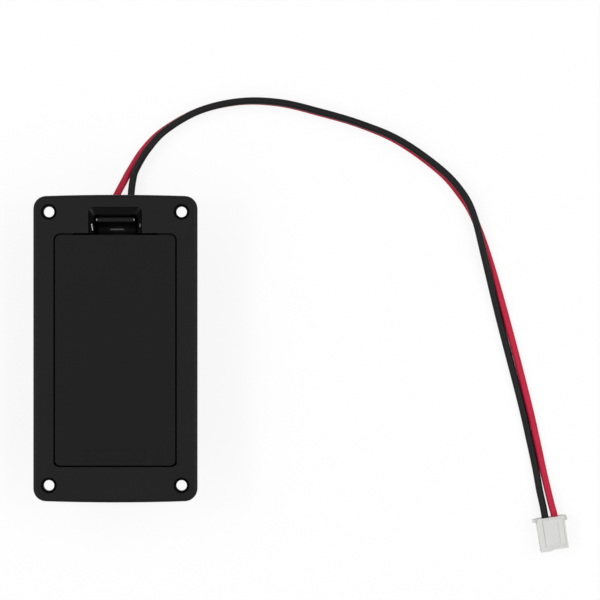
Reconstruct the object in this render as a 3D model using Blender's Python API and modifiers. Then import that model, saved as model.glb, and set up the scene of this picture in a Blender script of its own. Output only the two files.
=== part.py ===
"""A flat-mount holder for one nine volt battery, lying on its back with its lid up.

The holder is two black mouldings, a housing and a flip lid with a spring latch. Inside are two bent
contact springs. Two leads run from them to a small white two-way plug.

Frame: +X across the holder, +Y towards the latch, +Z up, out of the lid. The origin is on the surface
that the holder lies on, under the middle of its flange. Sizes are written in millimetres.
"""

import math

import bmesh
import bpy
from mathutils import Vector

MM = 0.001

# Flange, and the depth from its face to the back of the tub
FLANGE_WIDTH = 50.0
FLANGE_LENGTH = 93.8
DEPTH = 22.5
FLANGE_THICKNESS = 2.4
FLANGE_CORNER = 3.7
FLANGE_EDGE = 1.0
END_BOW = 0.5
END_BOW_TOP = 0.15

# Battery bay and the contact chamber behind it, for a battery of 26.5 by 48.5 by 17.5
BAY_WIDTH = 28.0
BAY_CORNER = 1.5
BATTERY_HEADROOM = 1.4
TERMINAL_PITCH = 12.7
WALL = 1.8
FLOOR = 1.8
PARTITION = 1.6
PARTITION_DROP = 2.7
CHAMBER_LENGTH = 7.6
MOULD_DRAFT = 0.25
TUB_CORNER = 3.0
TUB_EDGE = 1.2

# Lid panel and the seat around it
LID_OVERLAP = 4.3
LID_THICKNESS = 1.8
LID_CORNER = 1.55
LID_EDGE = 0.15
HINGE_MARGIN = 11.3
LATCH_MARGIN = 12.25
HINGE_SHELF = 8.4
SEAM = 0.5
SEAT_WALL = 1.4
SEAT_FLOOR = 1.7

# Screw holes
HOLE_INSET_X = 4.8
HOLE_INSET_Y = 5.25
HOLE_DIAMETER = 3.2
SINK_DIAMETER = 4.9
SINK_DEPTH = 1.6

# Hinge
PIVOT_INSET = 2.0
PIVOT_DEPTH = 2.2
SWEEP_CLEAR = 0.33
LUG_RADIUS = 1.9
LUG_LENGTH = 2.5
LUG_END_GAP = 0.7
PEG_RADIUS = 1.1
PEG_LENGTH = 1.6
TROUGH_WALL = 1.3
TROUGH_END_WALL = 2.2

# Latch
LATCH_WIDTH = 11.3
LATCH_THICKNESS = 1.5
LATCH_INSET = 0.15
LATCH_SPAN = 5.55
LATCH_DROP = 9.6
LATCH_EDGE = 0.5
LIP_DROP = 1.0
BARB_DROP = 5.0
BARB_HEIGHT = 1.5
BARB_PROUD = 0.15
BARB_INSET = 1.3
CATCH_INSET = 1.0
CATCH_PROUD = 0.4
CATCH_HEIGHT = 1.3
CATCH_GAP = 0.4

# Latch pocket and its finger scoop
POCKET_SIDE_GAP = 1.1
POCKET_DRAFT = 0.4
POCKET_END_GAP = 0.85
POCKET_FLOOR_GAP = 0.6
POCKET_WALL = 1.6
POCKET_CORNER = 0.8
POCKET_BODY_CORNER = 1.2
POCKET_BODY_EDGE = 0.6
SCOOP_LENGTH = 2.1
SCOOP_SIDE = 1.35
SCOOP_SHALLOW = 0.35
SCOOP_DEEP = 1.5
SCOOP_CORNER = 1.5
SCOOP_FOOT_CORNER = 0.8

# Ribs of the lid
RIM_INSET = 0.5
RIM_THICKNESS = 1.0
RIB_DEPTH = 1.0
RIB_THICKNESS = 1.0
RIB_X = 7.0
CROSS_RIBS = 3

# Gussets under the seat
GUSSETS = 3
GUSSET_PITCH = 20.0
GUSSET_THICKNESS = 1.2
GUSSET_HEIGHT = 6.0
GUSSET_TIP = 1.6

# Contacts
CONTACT_SHEET = 0.4
LEAF_WIDTH = 8.0
LEAF_BOW = 5.0
LEAF_SLIT = 0.9
LEAF_SLIT_LENGTH = 6.4
SLIT_TO_DIMPLE = 0.9
DIMPLE_RADIUS = 1.5
DIMPLE_HEIGHT = 0.45
TAG_WIDTH = 3.2
TAG_HEIGHT = 3.2
TAG_LENGTH = 3.9

# Solder joints
SOLDER_RADIUS = 1.35
SOLDER_HEIGHT = 0.9
STRAND_DIAMETER = 0.8
STRAND_LENGTH = 1.5

# Leads
LEAD_DIAMETER = 2.1
LEAD_HOLE_CLEAR = 0.4
LEAD_HOLE_X = 3.2
LEAD_START_INSET = 0.75
LEAD_RISE = 0.75
LEAD_SEGMENTS = 77

# Plug, its middle measured from the middle of the flange's latch end
PLUG_CENTRE = (135.15, -105.1)
PLUG_TURN = 8.5
PLUG_WIDTH = 8.6
PLUG_LENGTH = 10.4
PLUG_BODY_HEIGHT = 5.45
PLUG_EDGE = 0.35
PLUG_PITCH = 2.9
PLUG_BORE = 2.5
PLUG_BORE_LENGTH = 3.2
PLUG_SOCKET = 2.1
PLUG_MOUTH = 1.1
PLUG_FRONT_WALL = 0.9
LIP_LENGTH = 1.5
LEFT_LIP_WIDTH = 1.45
RIGHT_LIP_WIDTH = 0.9
LIP_FOOT = 0.8
LIP_HEIGHT = 3.6
LIP_CORNER = 0.35
NOSE_LENGTH = 1.2
NOSE_INSET = 0.35
RAIL_WIDTH = 2.2
RAIL_HEIGHT = 0.35
RAIL_START = 0.6
RAIL_END_GAP = 0.3
WINDOW_WIDTH = 1.2
WINDOW_LENGTH = 2.2
WINDOW_BACK = 0.6
TERMINAL_WALL = 0.25
SLEEVE_BACK_WALL = 0.5
BARREL_RADIUS = 0.7
LEAD_IN_PLUG = 1.6
LEAD_BEHIND_PLUG = 1.0

# Gap between neighbouring pieces, and working values for joining and cutting shapes
CLEAR = 0.3
OVERLAP = 0.5
PAST = 1.0
APART = 0.1
ROUND_SIDES = 40
SMALL_SIDES = 24
ARC_STEPS = 6

# Route of each lead outside the holder, from under the flange to behind the plug. Each point's second
# value is measured from the flange's latch end.
RED_ROUTE = (
    (-2.9, -4.7, 4.8), (-2.3, -2.1, 3.8), (-1.4, 0.1, 2.8), (-0.2, 2.6, 1.8), (1.3, 5.5, 1.2),
    (3.0, 8.6, 1.1), (7.2, 15.0, 1.1), (13.5, 21.1, 1.1), (24.8, 27.3, 1.1), (37.5, 30.1, 1.1),
    (50.0, 29.6, 1.1), (62.5, 26.6, 1.1), (75.1, 22.9, 1.1), (87.5, 17.4, 1.1), (100.0, 8.3, 1.1),
    (106.5, 0.9, 1.1), (110.9, -6.4, 1.1), (115.5, -18.9, 1.1), (121.1, -38.4, 1.1), (127.6, -63.4, 1.1),
    (130.5, -76.0, 1.1), (132.5, -85.4, 1.2), (133.9, -91.6, 1.8), (135.0, -96.4, 2.7),
)
BLACK_ROUTE = (
    (3.2, -4.7, 5.1), (3.3, -2.1, 4.3), (3.45, 0.1, 3.6), (3.6, 2.5, 3.1), (4.0, 5.4, 2.9),
    (4.9, 8.6, 3.0), (8.6, 14.8, 3.4), (14.4, 21.0, 3.45), (24.9, 27.1, 3.45), (37.5, 30.0, 3.45),
    (50.0, 29.7, 3.45), (62.5, 26.8, 3.45), (75.0, 23.1, 3.45), (87.5, 17.9, 3.45), (100.1, 9.1, 3.45),
    (107.0, 1.6, 3.45), (110.7, -5.8, 3.45), (113.9, -18.9, 3.0), (118.6, -38.4, 1.4), (125.25, -63.4, 1.1),
    (128.1, -76.0, 1.1), (130.1, -85.4, 1.2), (131.3, -91.6, 1.8), (132.2, -96.0, 2.7),
)

# Worked out from the sizes above
FLANGE_END = FLANGE_LENGTH / 2
FLANGE_UNDER = DEPTH - FLANGE_THICKNESS
LID_WIDTH = BAY_WIDTH + 2 * LID_OVERLAP
LID_SOUTH = HINGE_MARGIN - FLANGE_END
LID_NORTH = FLANGE_END - LATCH_MARGIN
LID_UNDER = DEPTH - LID_THICKNESS
SEAT_Z = LID_UNDER - CLEAR
SEAT_HALF = LID_WIDTH / 2 + SEAM
SEAT_NORTH = LID_NORTH + SEAM
CHAMBER_NORTH = SEAT_NORTH + APART / 2
CHAMBER_SOUTH = CHAMBER_NORTH - CHAMBER_LENGTH
BAY_NORTH = CHAMBER_SOUTH - PARTITION
BAY_SOUTH = LID_SOUTH + HINGE_SHELF
TUB_HALF = BAY_WIDTH / 2 + WALL
TUB_NORTH = CHAMBER_NORTH + WALL
TUB_SOUTH = BAY_SOUTH - WALL
PIVOT = Vector((0, LID_SOUTH + PIVOT_INSET, DEPTH - PIVOT_DEPTH))
LUG_END = SEAT_HALF - LUG_END_GAP
PEG_END = LUG_END + PEG_LENGTH
TROUGH_RADIUS = math.hypot(PIVOT_INSET, PIVOT_DEPTH) + SWEEP_CLEAR
LATCH_INNER_Y = LID_NORTH - LATCH_INSET - LATCH_THICKNESS / 2
LATCH_OUTER_Y = LATCH_INNER_Y + LATCH_SPAN
LATCH_LOW = DEPTH - LATCH_DROP
LATCH_FACE = LATCH_OUTER_Y + LATCH_THICKNESS / 2
POCKET_WIDTH = LATCH_WIDTH + 2 * POCKET_SIDE_GAP
POCKET_NORTH = LATCH_FACE + POCKET_END_GAP
POCKET_FLOOR = LATCH_LOW - POCKET_FLOOR_GAP
SCOOP_NORTH = POCKET_NORTH + SCOOP_LENGTH
CONTACT_X = TERMINAL_PITCH / 2
TAG_Z = FLOOR + TAG_HEIGHT
TAG_NORTH = CHAMBER_SOUTH + TAG_LENGTH
LEAF_FOOT_Y = BAY_NORTH - CLEAR - CONTACT_SHEET / 2 - APART
APEX_Z = (FLOOR + LID_UNDER - BATTERY_HEADROOM) / 2
APEX_Y = LEAF_FOOT_Y - LEAF_BOW
LEAD_HOLE_Z = TAG_Z + LEAD_RISE
PLUG_MIDDLE = (PLUG_BODY_HEIGHT + RAIL_HEIGHT) / 2
PLUG_CAVITIES = (-PLUG_PITCH / 2, PLUG_PITCH / 2)


def clear_scene():
    """Empties the scene, so that the holder stands alone in it."""
    for thing in list(bpy.data.objects):
        bpy.data.objects.remove(thing, do_unlink=True)


clear_scene()
PARTS = bpy.data.collections.new("nine_volt_battery_holder")
TOOLS = bpy.data.collections.new("shaping_tools")
for made in (PARTS, TOOLS):
    bpy.context.scene.collection.children.link(made)


def finish_of(name, colour, roughness, metallic=0.0):
    """A plain surface finish."""
    finish = bpy.data.materials.new(name)
    finish.use_nodes = True
    shader = finish.node_tree.nodes["Principled BSDF"]
    shader.inputs["Base Color"].default_value = (*colour, 1)
    shader.inputs["Roughness"].default_value = roughness
    shader.inputs["Metallic"].default_value = metallic
    return finish


def shaping_object(name, mesh_edit, turned_out=True):
    """An object from an edited mesh in millimetres, kept as a shape that only joins or cuts others."""
    bmesh.ops.scale(mesh_edit, vec=(MM, MM, MM), verts=mesh_edit.verts)
    if turned_out:
        bmesh.ops.recalc_face_normals(mesh_edit, faces=mesh_edit.faces)
    data = bpy.data.meshes.new(name)
    mesh_edit.to_mesh(data)
    mesh_edit.free()
    made = bpy.data.objects.new(name, data)
    TOOLS.objects.link(made)
    made.hide_render = True
    made.display_type = "WIRE"
    return made


def around(middle, width):
    """The two ends of a width about its middle."""
    return middle - width / 2, middle + width / 2


def arc(centre, radius, start, end, steps):
    """Points along an arc between two angles in degrees, both ends included."""
    angles = [math.radians(start + (end - start) * step / steps) for step in range(steps + 1)]
    return [(centre[0] + radius * math.cos(a), centre[1] + radius * math.sin(a)) for a in angles]


def round_rim(mesh_edit, z, amount):
    """Rounds the flat rim of a block at height z."""
    rim = [e for e in mesh_edit.edges if all(abs(v.co.z - z) < 1e-4 for v in e.verts)]
    bmesh.ops.bevel(mesh_edit, geom=rim, offset=amount, segments=2, profile=0.5, affect="EDGES")


def block(name, x, y, z, corner=0.0, bottom=0.0, top=0.0, draft=(0.0, 0.0), corner_steps=4):
    """A moulded block. Its upright edges and rims are rounded, and it narrows downwards by its draft."""
    made = bmesh.new()
    bmesh.ops.create_cube(made, size=1)
    for v in made.verts:
        inset_x, inset_y = draft if v.co.z < 0 else (0.0, 0.0)
        v.co = Vector(
            (
                x[1] - inset_x if v.co.x > 0 else x[0] + inset_x,
                y[1] - inset_y if v.co.y > 0 else y[0] + inset_y,
                z[1] if v.co.z > 0 else z[0],
            )
        )
    if corner:
        upright = [e for e in made.edges if abs(e.verts[0].co.z - e.verts[1].co.z) > (z[1] - z[0]) / 2]
        bmesh.ops.bevel(made, geom=upright, offset=corner, segments=corner_steps, profile=0.5, affect="EDGES")
    if bottom:
        round_rim(made, z[0], bottom)
    if top:
        round_rim(made, z[1], top)
    return shaping_object(name, made)


def rod(name, start, end, radius, sides=SMALL_SIDES):
    """A round bar between two points."""
    start, end = Vector(start), Vector(end)
    made = bmesh.new()
    length = (end - start).length
    bmesh.ops.create_cone(made, cap_ends=True, segments=sides, radius1=radius, radius2=radius, depth=length)
    turn = (end - start).to_track_quat("Z", "Y").to_matrix()
    bmesh.ops.rotate(made, cent=(0, 0, 0), matrix=turn, verts=made.verts)
    bmesh.ops.translate(made, vec=(start + end) / 2, verts=made.verts)
    return shaping_object(name, made)


def prism(name, outline, x):
    """An outline of (y, z) points drawn out along X."""
    made = bmesh.new()
    face = made.faces.new([made.verts.new((x[0], *point)) for point in outline])
    drawn = bmesh.ops.extrude_face_region(made, geom=[face])["geom"]
    moved = [v for v in drawn if isinstance(v, bmesh.types.BMVert)]
    bmesh.ops.translate(made, vec=(x[1] - x[0], 0, 0), verts=moved)
    return shaping_object(name, made)


def loft(name, rings):
    """A solid whose skin runs through rings of equal length, with a flat cap at each end."""
    made = bmesh.new()
    rows = [[made.verts.new(p) for p in ring] for ring in rings]
    for lower, upper in zip(rows, rows[1:]):
        for i in range(len(lower)):
            j = (i + 1) % len(lower)
            made.faces.new((lower[i], lower[j], upper[j], upper[i]))
    made.faces.new(rows[0])
    made.faces.new(rows[-1])
    return shaping_object(name, made)


def strip(name, path, x, thickness):
    """A bent strip: a path of (y, z) points drawn out along X and given a thickness about it."""
    made = bmesh.new()
    line = [made.verts.new((x[0], *point)) for point in path]
    edges = [made.edges.new(pair) for pair in zip(line, line[1:])]
    drawn = bmesh.ops.extrude_edge_only(made, edges=edges)["geom"]
    moved = [v for v in drawn if isinstance(v, bmesh.types.BMVert)]
    bmesh.ops.translate(made, vec=(x[1] - x[0], 0, 0), verts=moved)
    bent = shaping_object(name, made)
    sheet = bent.modifiers.new("sheet", "SOLIDIFY")
    sheet.thickness = thickness * MM
    sheet.offset = 0
    sheet.use_even_offset = True
    return bent


def with_boolean(target, tool, operation):
    """Joins a shape to the target, or cuts the target with it."""
    step = target.modifiers.new(f"{operation.lower()} {tool.name}", "BOOLEAN")
    step.operation = operation
    step.solver = "EXACT"
    step.object = tool


def join(target, *tools):
    """Makes shapes one body with the target."""
    for tool in tools:
        with_boolean(target, tool, "UNION")


def cut(target, *tools):
    """Takes shapes away from the target."""
    for tool in tools:
        with_boolean(target, tool, "DIFFERENCE")


def finished(made, name, finish, hinge=None):
    """Names a shape as a piece of the holder and gives it its finish, and its hinge if it turns."""
    TOOLS.objects.unlink(made)
    PARTS.objects.link(made)
    made.name = made.data.name = name
    made.hide_render = False
    made.display_type = "TEXTURED"
    made.data.materials.append(finish)
    made.data.shade_smooth()
    made.data.set_sharp_from_angle(angle=math.radians(30))
    if hinge:
        for moving in [made, *(step.object for step in made.modifiers if step.type == "BOOLEAN")]:
            moving.parent = hinge
            moving.matrix_parent_inverse = hinge.matrix_world.inverted()
    return made


def bowed_outline(half_x, half_y, corner, bow):
    """Points round a rectangle with round corners, whose two ends bow outwards by bow."""
    end_steps = 8
    run = half_x - corner
    points = []
    for turn, (side_x, side_y) in enumerate(((1, -1), (1, 1), (-1, 1), (-1, -1))):
        centre = (side_x * run, side_y * (half_y - bow - corner))
        points += arc(centre, corner, 90 * (turn - 1), 90 * turn, ARC_STEPS)
        if side_x == side_y:
            for step in range(1, end_steps):
                points.append((side_x * run * (1 - 2 * step / end_steps), side_y * (half_y - bow)))
    return [(x, y + math.copysign(bow * (1 - (x / half_x) ** 2), y)) for x, y in points]


def flange_plate():
    """The flange. Its upper edge is rounded, and its ends bow out more at the foot than at the face."""
    edge_steps = 4
    levels = [(0.0, 0.0, FLANGE_UNDER)]
    for step in range(edge_steps + 1):
        angle = math.radians(90 * step / edge_steps)
        inset = FLANGE_EDGE * (1 - math.cos(angle))
        levels.append((inset, step / edge_steps, DEPTH - FLANGE_EDGE + FLANGE_EDGE * math.sin(angle)))
    rings = []
    for inset, share, z in levels:
        bow = END_BOW + (END_BOW_TOP - END_BOW) * share
        half_y = FLANGE_END - inset - (END_BOW - bow)
        outline = bowed_outline(FLANGE_WIDTH / 2 - inset, half_y, FLANGE_CORNER - inset, bow)
        rings.append([(x, y, z) for x, y in outline])
    return loft("flange_plate", rings)


def seat_body():
    """What the lid's seat is cut from, under the flange."""
    return block(
        "seat_body",
        around(0, 2 * (SEAT_HALF + SEAT_WALL)),
        (LID_SOUTH, SEAT_NORTH + SEAT_WALL),
        (SEAT_Z - SEAT_FLOOR, FLANGE_UNDER + OVERLAP + APART),
        corner=LID_CORNER + SEAM + SEAT_WALL,
    )


def tub_body():
    """The outside of the tub that holds the battery and the contacts."""
    return block(
        "tub_body",
        (-TUB_HALF, TUB_HALF),
        (TUB_SOUTH, TUB_NORTH),
        (0, FLANGE_UNDER + OVERLAP),
        corner=TUB_CORNER,
        bottom=TUB_EDGE,
        draft=(MOULD_DRAFT, MOULD_DRAFT),
        corner_steps=5,
    )


def trough_body():
    """The outside of the hinge trough, a half round with straight sides up to the flange."""
    radius = TROUGH_RADIUS + TROUGH_WALL
    top = FLANGE_UNDER + OVERLAP - APART
    outline = [(PIVOT.y - radius, top), *arc(PIVOT.yz, radius, 180, 360, 16), (PIVOT.y + radius, top)]
    return prism("trough_body", outline, around(0, 2 * (SEAT_HALF + TROUGH_END_WALL)))


def pocket_body():
    """The outside of the pocket that the latch hangs in."""
    return block(
        "pocket_body",
        around(0, POCKET_WIDTH + 2 * POCKET_WALL),
        (TUB_NORTH - WALL / 2, POCKET_NORTH + POCKET_WALL),
        (POCKET_FLOOR - POCKET_WALL, FLANGE_UNDER + OVERLAP - 2 * APART),
        corner=POCKET_BODY_CORNER,
        bottom=POCKET_BODY_EDGE,
        corner_steps=5,
    )


def gusset(side, y):
    """A fin in the corner between the tub's wall and the seat."""
    inner, outer = TUB_HALF - WALL / 2, SEAT_HALF + SEAT_WALL / 2
    top = SEAT_Z - OVERLAP
    foot = SEAT_Z - SEAT_FLOOR - GUSSET_HEIGHT
    outline = ((inner, foot), (inner, top), (outer, top), (outer, top - GUSSET_TIP))
    rings = [[(side * x, face_y, z) for x, z in outline] for face_y in around(y, GUSSET_THICKNESS)]
    return loft("gusset", rings)


def gussets():
    """The row of fins on each side."""
    first = -GUSSET_PITCH * (GUSSETS - 1) / 2
    return [gusset(side, first + GUSSET_PITCH * count) for side in (-1, 1) for count in range(GUSSETS)]


def seat_cutter():
    """The recess that the lid lies in, with a seam around it."""
    return block(
        "seat_cutter",
        (-SEAT_HALF, SEAT_HALF),
        (PIVOT.y, SEAT_NORTH),
        (SEAT_Z, DEPTH + PAST),
        corner=LID_CORNER + SEAM,
        corner_steps=5,
    )


def swept_trough():
    """The space that the lid's hinge edge sweeps, with the sockets of its pegs, turned about the hinge line."""
    corner_x = LID_WIDTH / 2 - LID_CORNER
    half = []
    for step in range(ARC_STEPS + 1):
        angle = math.radians(90 * step / ARC_STEPS)
        x = corner_x + (LID_CORNER + SEAM) * math.sin(angle)
        inset = PIVOT_INSET - LID_CORNER * (1 - math.cos(angle))
        half.append((x, math.hypot(inset, PIVOT_DEPTH) + SWEEP_CLEAR))
    socket_end, socket_radius = PEG_END + CLEAR, PEG_RADIUS + CLEAR
    half += [(SEAT_HALF, socket_radius), (socket_end, socket_radius), (socket_end, 0.0)]
    profile = [(-x, radius) for x, radius in reversed(half)] + half
    made = bmesh.new()
    line = [made.verts.new((x, PIVOT.y, PIVOT.z + radius)) for x, radius in profile]
    edges = [made.edges.new(pair) for pair in zip(line, line[1:])]
    bmesh.ops.spin(
        made,
        geom=line + edges,
        cent=PIVOT,
        axis=(1, 0, 0),
        angle=2 * math.pi,
        steps=ROUND_SIDES,
        use_merge=True,
    )
    bmesh.ops.remove_doubles(made, verts=made.verts, dist=1e-4)
    return shaping_object("swept_trough", made)


def hollow(name, south, north):
    """A space in the tub between two walls, open at the top."""
    return block(
        name,
        (-BAY_WIDTH / 2, BAY_WIDTH / 2),
        (south, north),
        (FLOOR, DEPTH),
        corner=BAY_CORNER,
        draft=(MOULD_DRAFT, MOULD_DRAFT),
    )


def partition_cutter():
    """What lowers the partition between the bay and the contact chamber."""
    return block(
        "partition_cutter",
        around(0, BAY_WIDTH - 2 * PAST),
        (BAY_NORTH - PAST, CHAMBER_SOUTH + PAST),
        (LID_UNDER - PARTITION_DROP, DEPTH),
    )


def pocket_cutter():
    """The inside of the latch pocket, open towards the contact chamber for the latch's inner leg."""
    return block(
        "pocket_cutter",
        (-POCKET_WIDTH / 2, POCKET_WIDTH / 2),
        (CHAMBER_NORTH - PAST, POCKET_NORTH),
        (POCKET_FLOOR, DEPTH - SCOOP_DEEP + APART),
        corner=POCKET_CORNER,
        draft=(POCKET_DRAFT, 0.0),
    )


def scoop_outline(half, north, corner, z):
    """The scoop's outline at one height: open to the south, with a round corner at each northern end."""
    points = [(half, SEAT_NORTH - PAST), *arc((half - corner, north - corner), corner, 0, 90, 5)]
    points += [(-x, y) for x, y in reversed(points)]
    return [(x, y, z) for x, y in points]


def scoop_cutter():
    """The finger scoop: a shallow rim, then a floor that slopes down to the pocket on three sides."""
    half = POCKET_WIDTH / 2
    rim_half = half + SCOOP_SIDE
    foot = scoop_outline(half, POCKET_NORTH, SCOOP_FOOT_CORNER, DEPTH - SCOOP_DEEP)
    edge = scoop_outline(rim_half, SCOOP_NORTH, SCOOP_CORNER, DEPTH - SCOOP_SHALLOW)
    head = scoop_outline(rim_half, SCOOP_NORTH, SCOOP_CORNER, DEPTH + PAST)
    return loft("scoop_cutter", [foot, edge, head])


def screw_hole(x, y):
    """A countersunk hole, turned from its half profile."""
    radius, sink = HOLE_DIAMETER / 2, SINK_DIAMETER / 2
    flare = (sink - radius) / SINK_DEPTH
    foot = FLANGE_UNDER - PAST
    profile = [
        (0.0, DEPTH + CLEAR),
        (sink + CLEAR * flare, DEPTH + CLEAR),
        (radius, DEPTH - SINK_DEPTH),
        (radius, foot),
        (0.0, foot),
    ]
    made = bmesh.new()
    line = [made.verts.new((r, 0, z)) for r, z in profile]
    for pair in zip(line, line[1:]):
        made.edges.new(pair)
    cutter = shaping_object("screw_hole", made, turned_out=False)
    cutter.location = (x * MM, y * MM, 0)
    turned = cutter.modifiers.new("turned", "SCREW")
    turned.axis = "Z"
    turned.steps = turned.render_steps = 28
    turned.use_merge_vertices = True
    turned.merge_threshold = 0.00001
    return cutter


def screw_holes():
    """The four holes near the flange's corners."""
    x, y = FLANGE_WIDTH / 2 - HOLE_INSET_X, FLANGE_END - HOLE_INSET_Y
    return [screw_hole(side * x, end * y) for side in (-1, 1) for end in (-1, 1)]


def wiring_openings(side):
    """What one side of the tub is opened for: a lead and a contact's tag."""
    lead_x = side * LEAD_HOLE_X
    lead = (lead_x, CHAMBER_NORTH - PAST, LEAD_HOLE_Z), (lead_x, TUB_NORTH + PAST, LEAD_HOLE_Z)
    return [
        rod("lead_hole", *lead, LEAD_DIAMETER / 2 + LEAD_HOLE_CLEAR),
        block(
            "tag_slot",
            around(side * CONTACT_X, TAG_WIDTH + 2 * CLEAR),
            (BAY_NORTH - PAST, CHAMBER_SOUTH + PAST),
            around(TAG_Z, CONTACT_SHEET + 2 * CLEAR),
        ),
    ]


def catch_bar():
    """The bar on the pocket's wall that the latch's barb sits under."""
    low = DEPTH - BARB_DROP + CATCH_GAP
    return block(
        "catch_bar",
        around(0, LATCH_WIDTH - 2 * CATCH_INSET),
        (POCKET_NORTH - CATCH_PROUD, POCKET_NORTH + POCKET_WALL / 2),
        (low, low + CATCH_HEIGHT),
    )


def make_housing(finish):
    """The housing: the flange joined to what hangs below it, then hollowed."""
    housing = flange_plate()
    join(housing, seat_body(), tub_body(), trough_body(), pocket_body(), *gussets())
    cut(housing, seat_cutter(), swept_trough())
    cut(housing, hollow("bay", BAY_SOUTH, BAY_NORTH), hollow("chamber", CHAMBER_SOUTH, CHAMBER_NORTH))
    cut(housing, partition_cutter(), pocket_cutter(), scoop_cutter())
    cut(housing, *wiring_openings(-1), *wiring_openings(1), *screw_holes())
    join(housing, catch_bar())
    return finished(housing, "housing", finish)


def latch_spring():
    """The U-shaped spring latch: a strip bent down from the lid and up again to the finger lip."""
    bend = LATCH_SPAN / 2
    bend_z = LATCH_LOW + LATCH_THICKNESS / 2 + bend
    path = [
        (LATCH_INNER_Y, LID_UNDER + OVERLAP),
        *arc((LATCH_INNER_Y + bend, bend_z), bend, 180, 360, 12),
        (LATCH_OUTER_Y, DEPTH - LIP_DROP),
    ]
    spring = strip("latch_spring", path, around(0, LATCH_WIDTH), LATCH_THICKNESS)
    soft = spring.modifiers.new("soft edges", "BEVEL")
    soft.width = LATCH_EDGE * MM
    soft.segments = 3
    soft.limit_method = "ANGLE"
    soft.angle_limit = math.radians(60)
    return spring


def latch_barb():
    """The wedge on the latch that sits under the catch."""
    top = DEPTH - BARB_DROP
    back = LATCH_FACE - OVERLAP
    outline = [(back, top), (LATCH_FACE + BARB_PROUD, top), (back, top - BARB_HEIGHT)]
    return prism("latch_barb", outline, around(0, LATCH_WIDTH - 2 * BARB_INSET))


def lid_ribs():
    """The low wall under the lid that drops into the bay, with the ribs inside it."""
    half = BAY_WIDTH / 2 - RIM_INSET
    south, north = BAY_SOUTH + RIM_INSET, BAY_NORTH - RIM_INSET
    low, high = LID_UNDER - RIB_DEPTH, LID_UNDER + OVERLAP
    into_rim = RIM_THICKNESS / 2
    rim = block("lid_rim", (-half, half), (south, north), (low, high), corner=BAY_CORNER, corner_steps=3)
    inside = block(
        "lid_rim_inside",
        (-half + RIM_THICKNESS, half - RIM_THICKNESS),
        (south + RIM_THICKNESS, north - RIM_THICKNESS),
        (low - PAST, high + PAST),
        corner=BAY_CORNER / 2,
        corner_steps=3,
    )
    cut(rim, inside)
    ribs = [rim]
    for side in (-1, 1):
        across = around(side * RIB_X, RIB_THICKNESS)
        along = (south + into_rim, north - into_rim)
        ribs.append(block("long_rib", across, along, (low + APART, high - APART)))
    for count in range(CROSS_RIBS):
        along = around(south + (north - south) * (count + 1) / (CROSS_RIBS + 1), RIB_THICKNESS)
        across = (-half + into_rim, half - into_rim)
        ribs.append(block("cross_rib", across, along, (low + 2 * APART, high - 2 * APART)))
    return ribs


def hinge_lug(side):
    """A round lug under one corner of the lid, with its peg."""
    root = side * (LUG_END - LUG_LENGTH)
    end = side * LUG_END
    return [
        rod("hinge_lug", (root, *PIVOT.yz), (end, *PIVOT.yz), LUG_RADIUS, sides=28),
        rod("hinge_peg", (end - side * OVERLAP, *PIVOT.yz), (side * PEG_END, *PIVOT.yz), PEG_RADIUS),
    ]


def make_lid(finish, hinge):
    """The lid: its panel joined to the ribs, the hinge lugs and pegs and the spring latch."""
    lid = block(
        "lid_panel",
        (-LID_WIDTH / 2, LID_WIDTH / 2),
        (LID_SOUTH, LID_NORTH),
        (LID_UNDER, DEPTH),
        corner=LID_CORNER,
        top=LID_EDGE,
        corner_steps=5,
    )
    join(lid, *lid_ribs(), latch_spring(), latch_barb(), *hinge_lug(-1), *hinge_lug(1))
    return finished(lid, "lid", finish, hinge)


def leaf_path():
    """The contact from the side: its tag, then a leaf that bows out to the battery's terminal."""
    steps = 12
    path = [(TAG_NORTH, TAG_Z), (LEAF_FOOT_Y, TAG_Z)]
    for step in range(1, steps + 1):
        share = step / steps
        bow = LEAF_BOW * math.sin(math.pi * share) ** 1.5
        path.append((LEAF_FOOT_Y + APART * share - bow, TAG_Z + 2 * (APEX_Z - TAG_Z) * share))
    return path


def dimple(x):
    """The round boss on a leaf that meets the battery's terminal."""
    made = bmesh.new()
    bmesh.ops.create_uvsphere(made, u_segments=20, v_segments=10, radius=1)
    size = (DIMPLE_RADIUS, DIMPLE_HEIGHT + CONTACT_SHEET / 2, DIMPLE_RADIUS)
    bmesh.ops.scale(made, vec=size, verts=made.verts)
    bmesh.ops.translate(made, vec=(x, APEX_Y, APEX_Z), verts=made.verts)
    return shaping_object("dimple", made)


def make_contact(name, side, finish):
    """A bent contact: a tag through the partition, then a bowed leaf with a dimple between two slits."""
    x = side * CONTACT_X
    contact = strip(name, leaf_path(), around(x, LEAF_WIDTH), CONTACT_SHEET)
    trim_width = (LEAF_WIDTH - TAG_WIDTH) / 2 + PAST
    slit_x = DIMPLE_RADIUS + SLIT_TO_DIMPLE
    for edge in (-1, 1):
        trim_middle = x + edge * (TAG_WIDTH + trim_width) / 2
        trim_y = (LEAF_FOOT_Y - CONTACT_SHEET, TAG_NORTH + PAST)
        cut(contact, block("tag_trim", around(trim_middle, trim_width), trim_y, around(TAG_Z, 2 * PAST)))
    join(contact, dimple(x))
    for edge in (-1, 1):
        slit_y = (APEX_Y - PAST, LEAF_FOOT_Y + CLEAR)
        slit_z = around(APEX_Z, LEAF_SLIT_LENGTH)
        cut(contact, block("leaf_slit", around(x + edge * slit_x, LEAF_SLIT), slit_y, slit_z))
    return finished(contact, name, finish)


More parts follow.
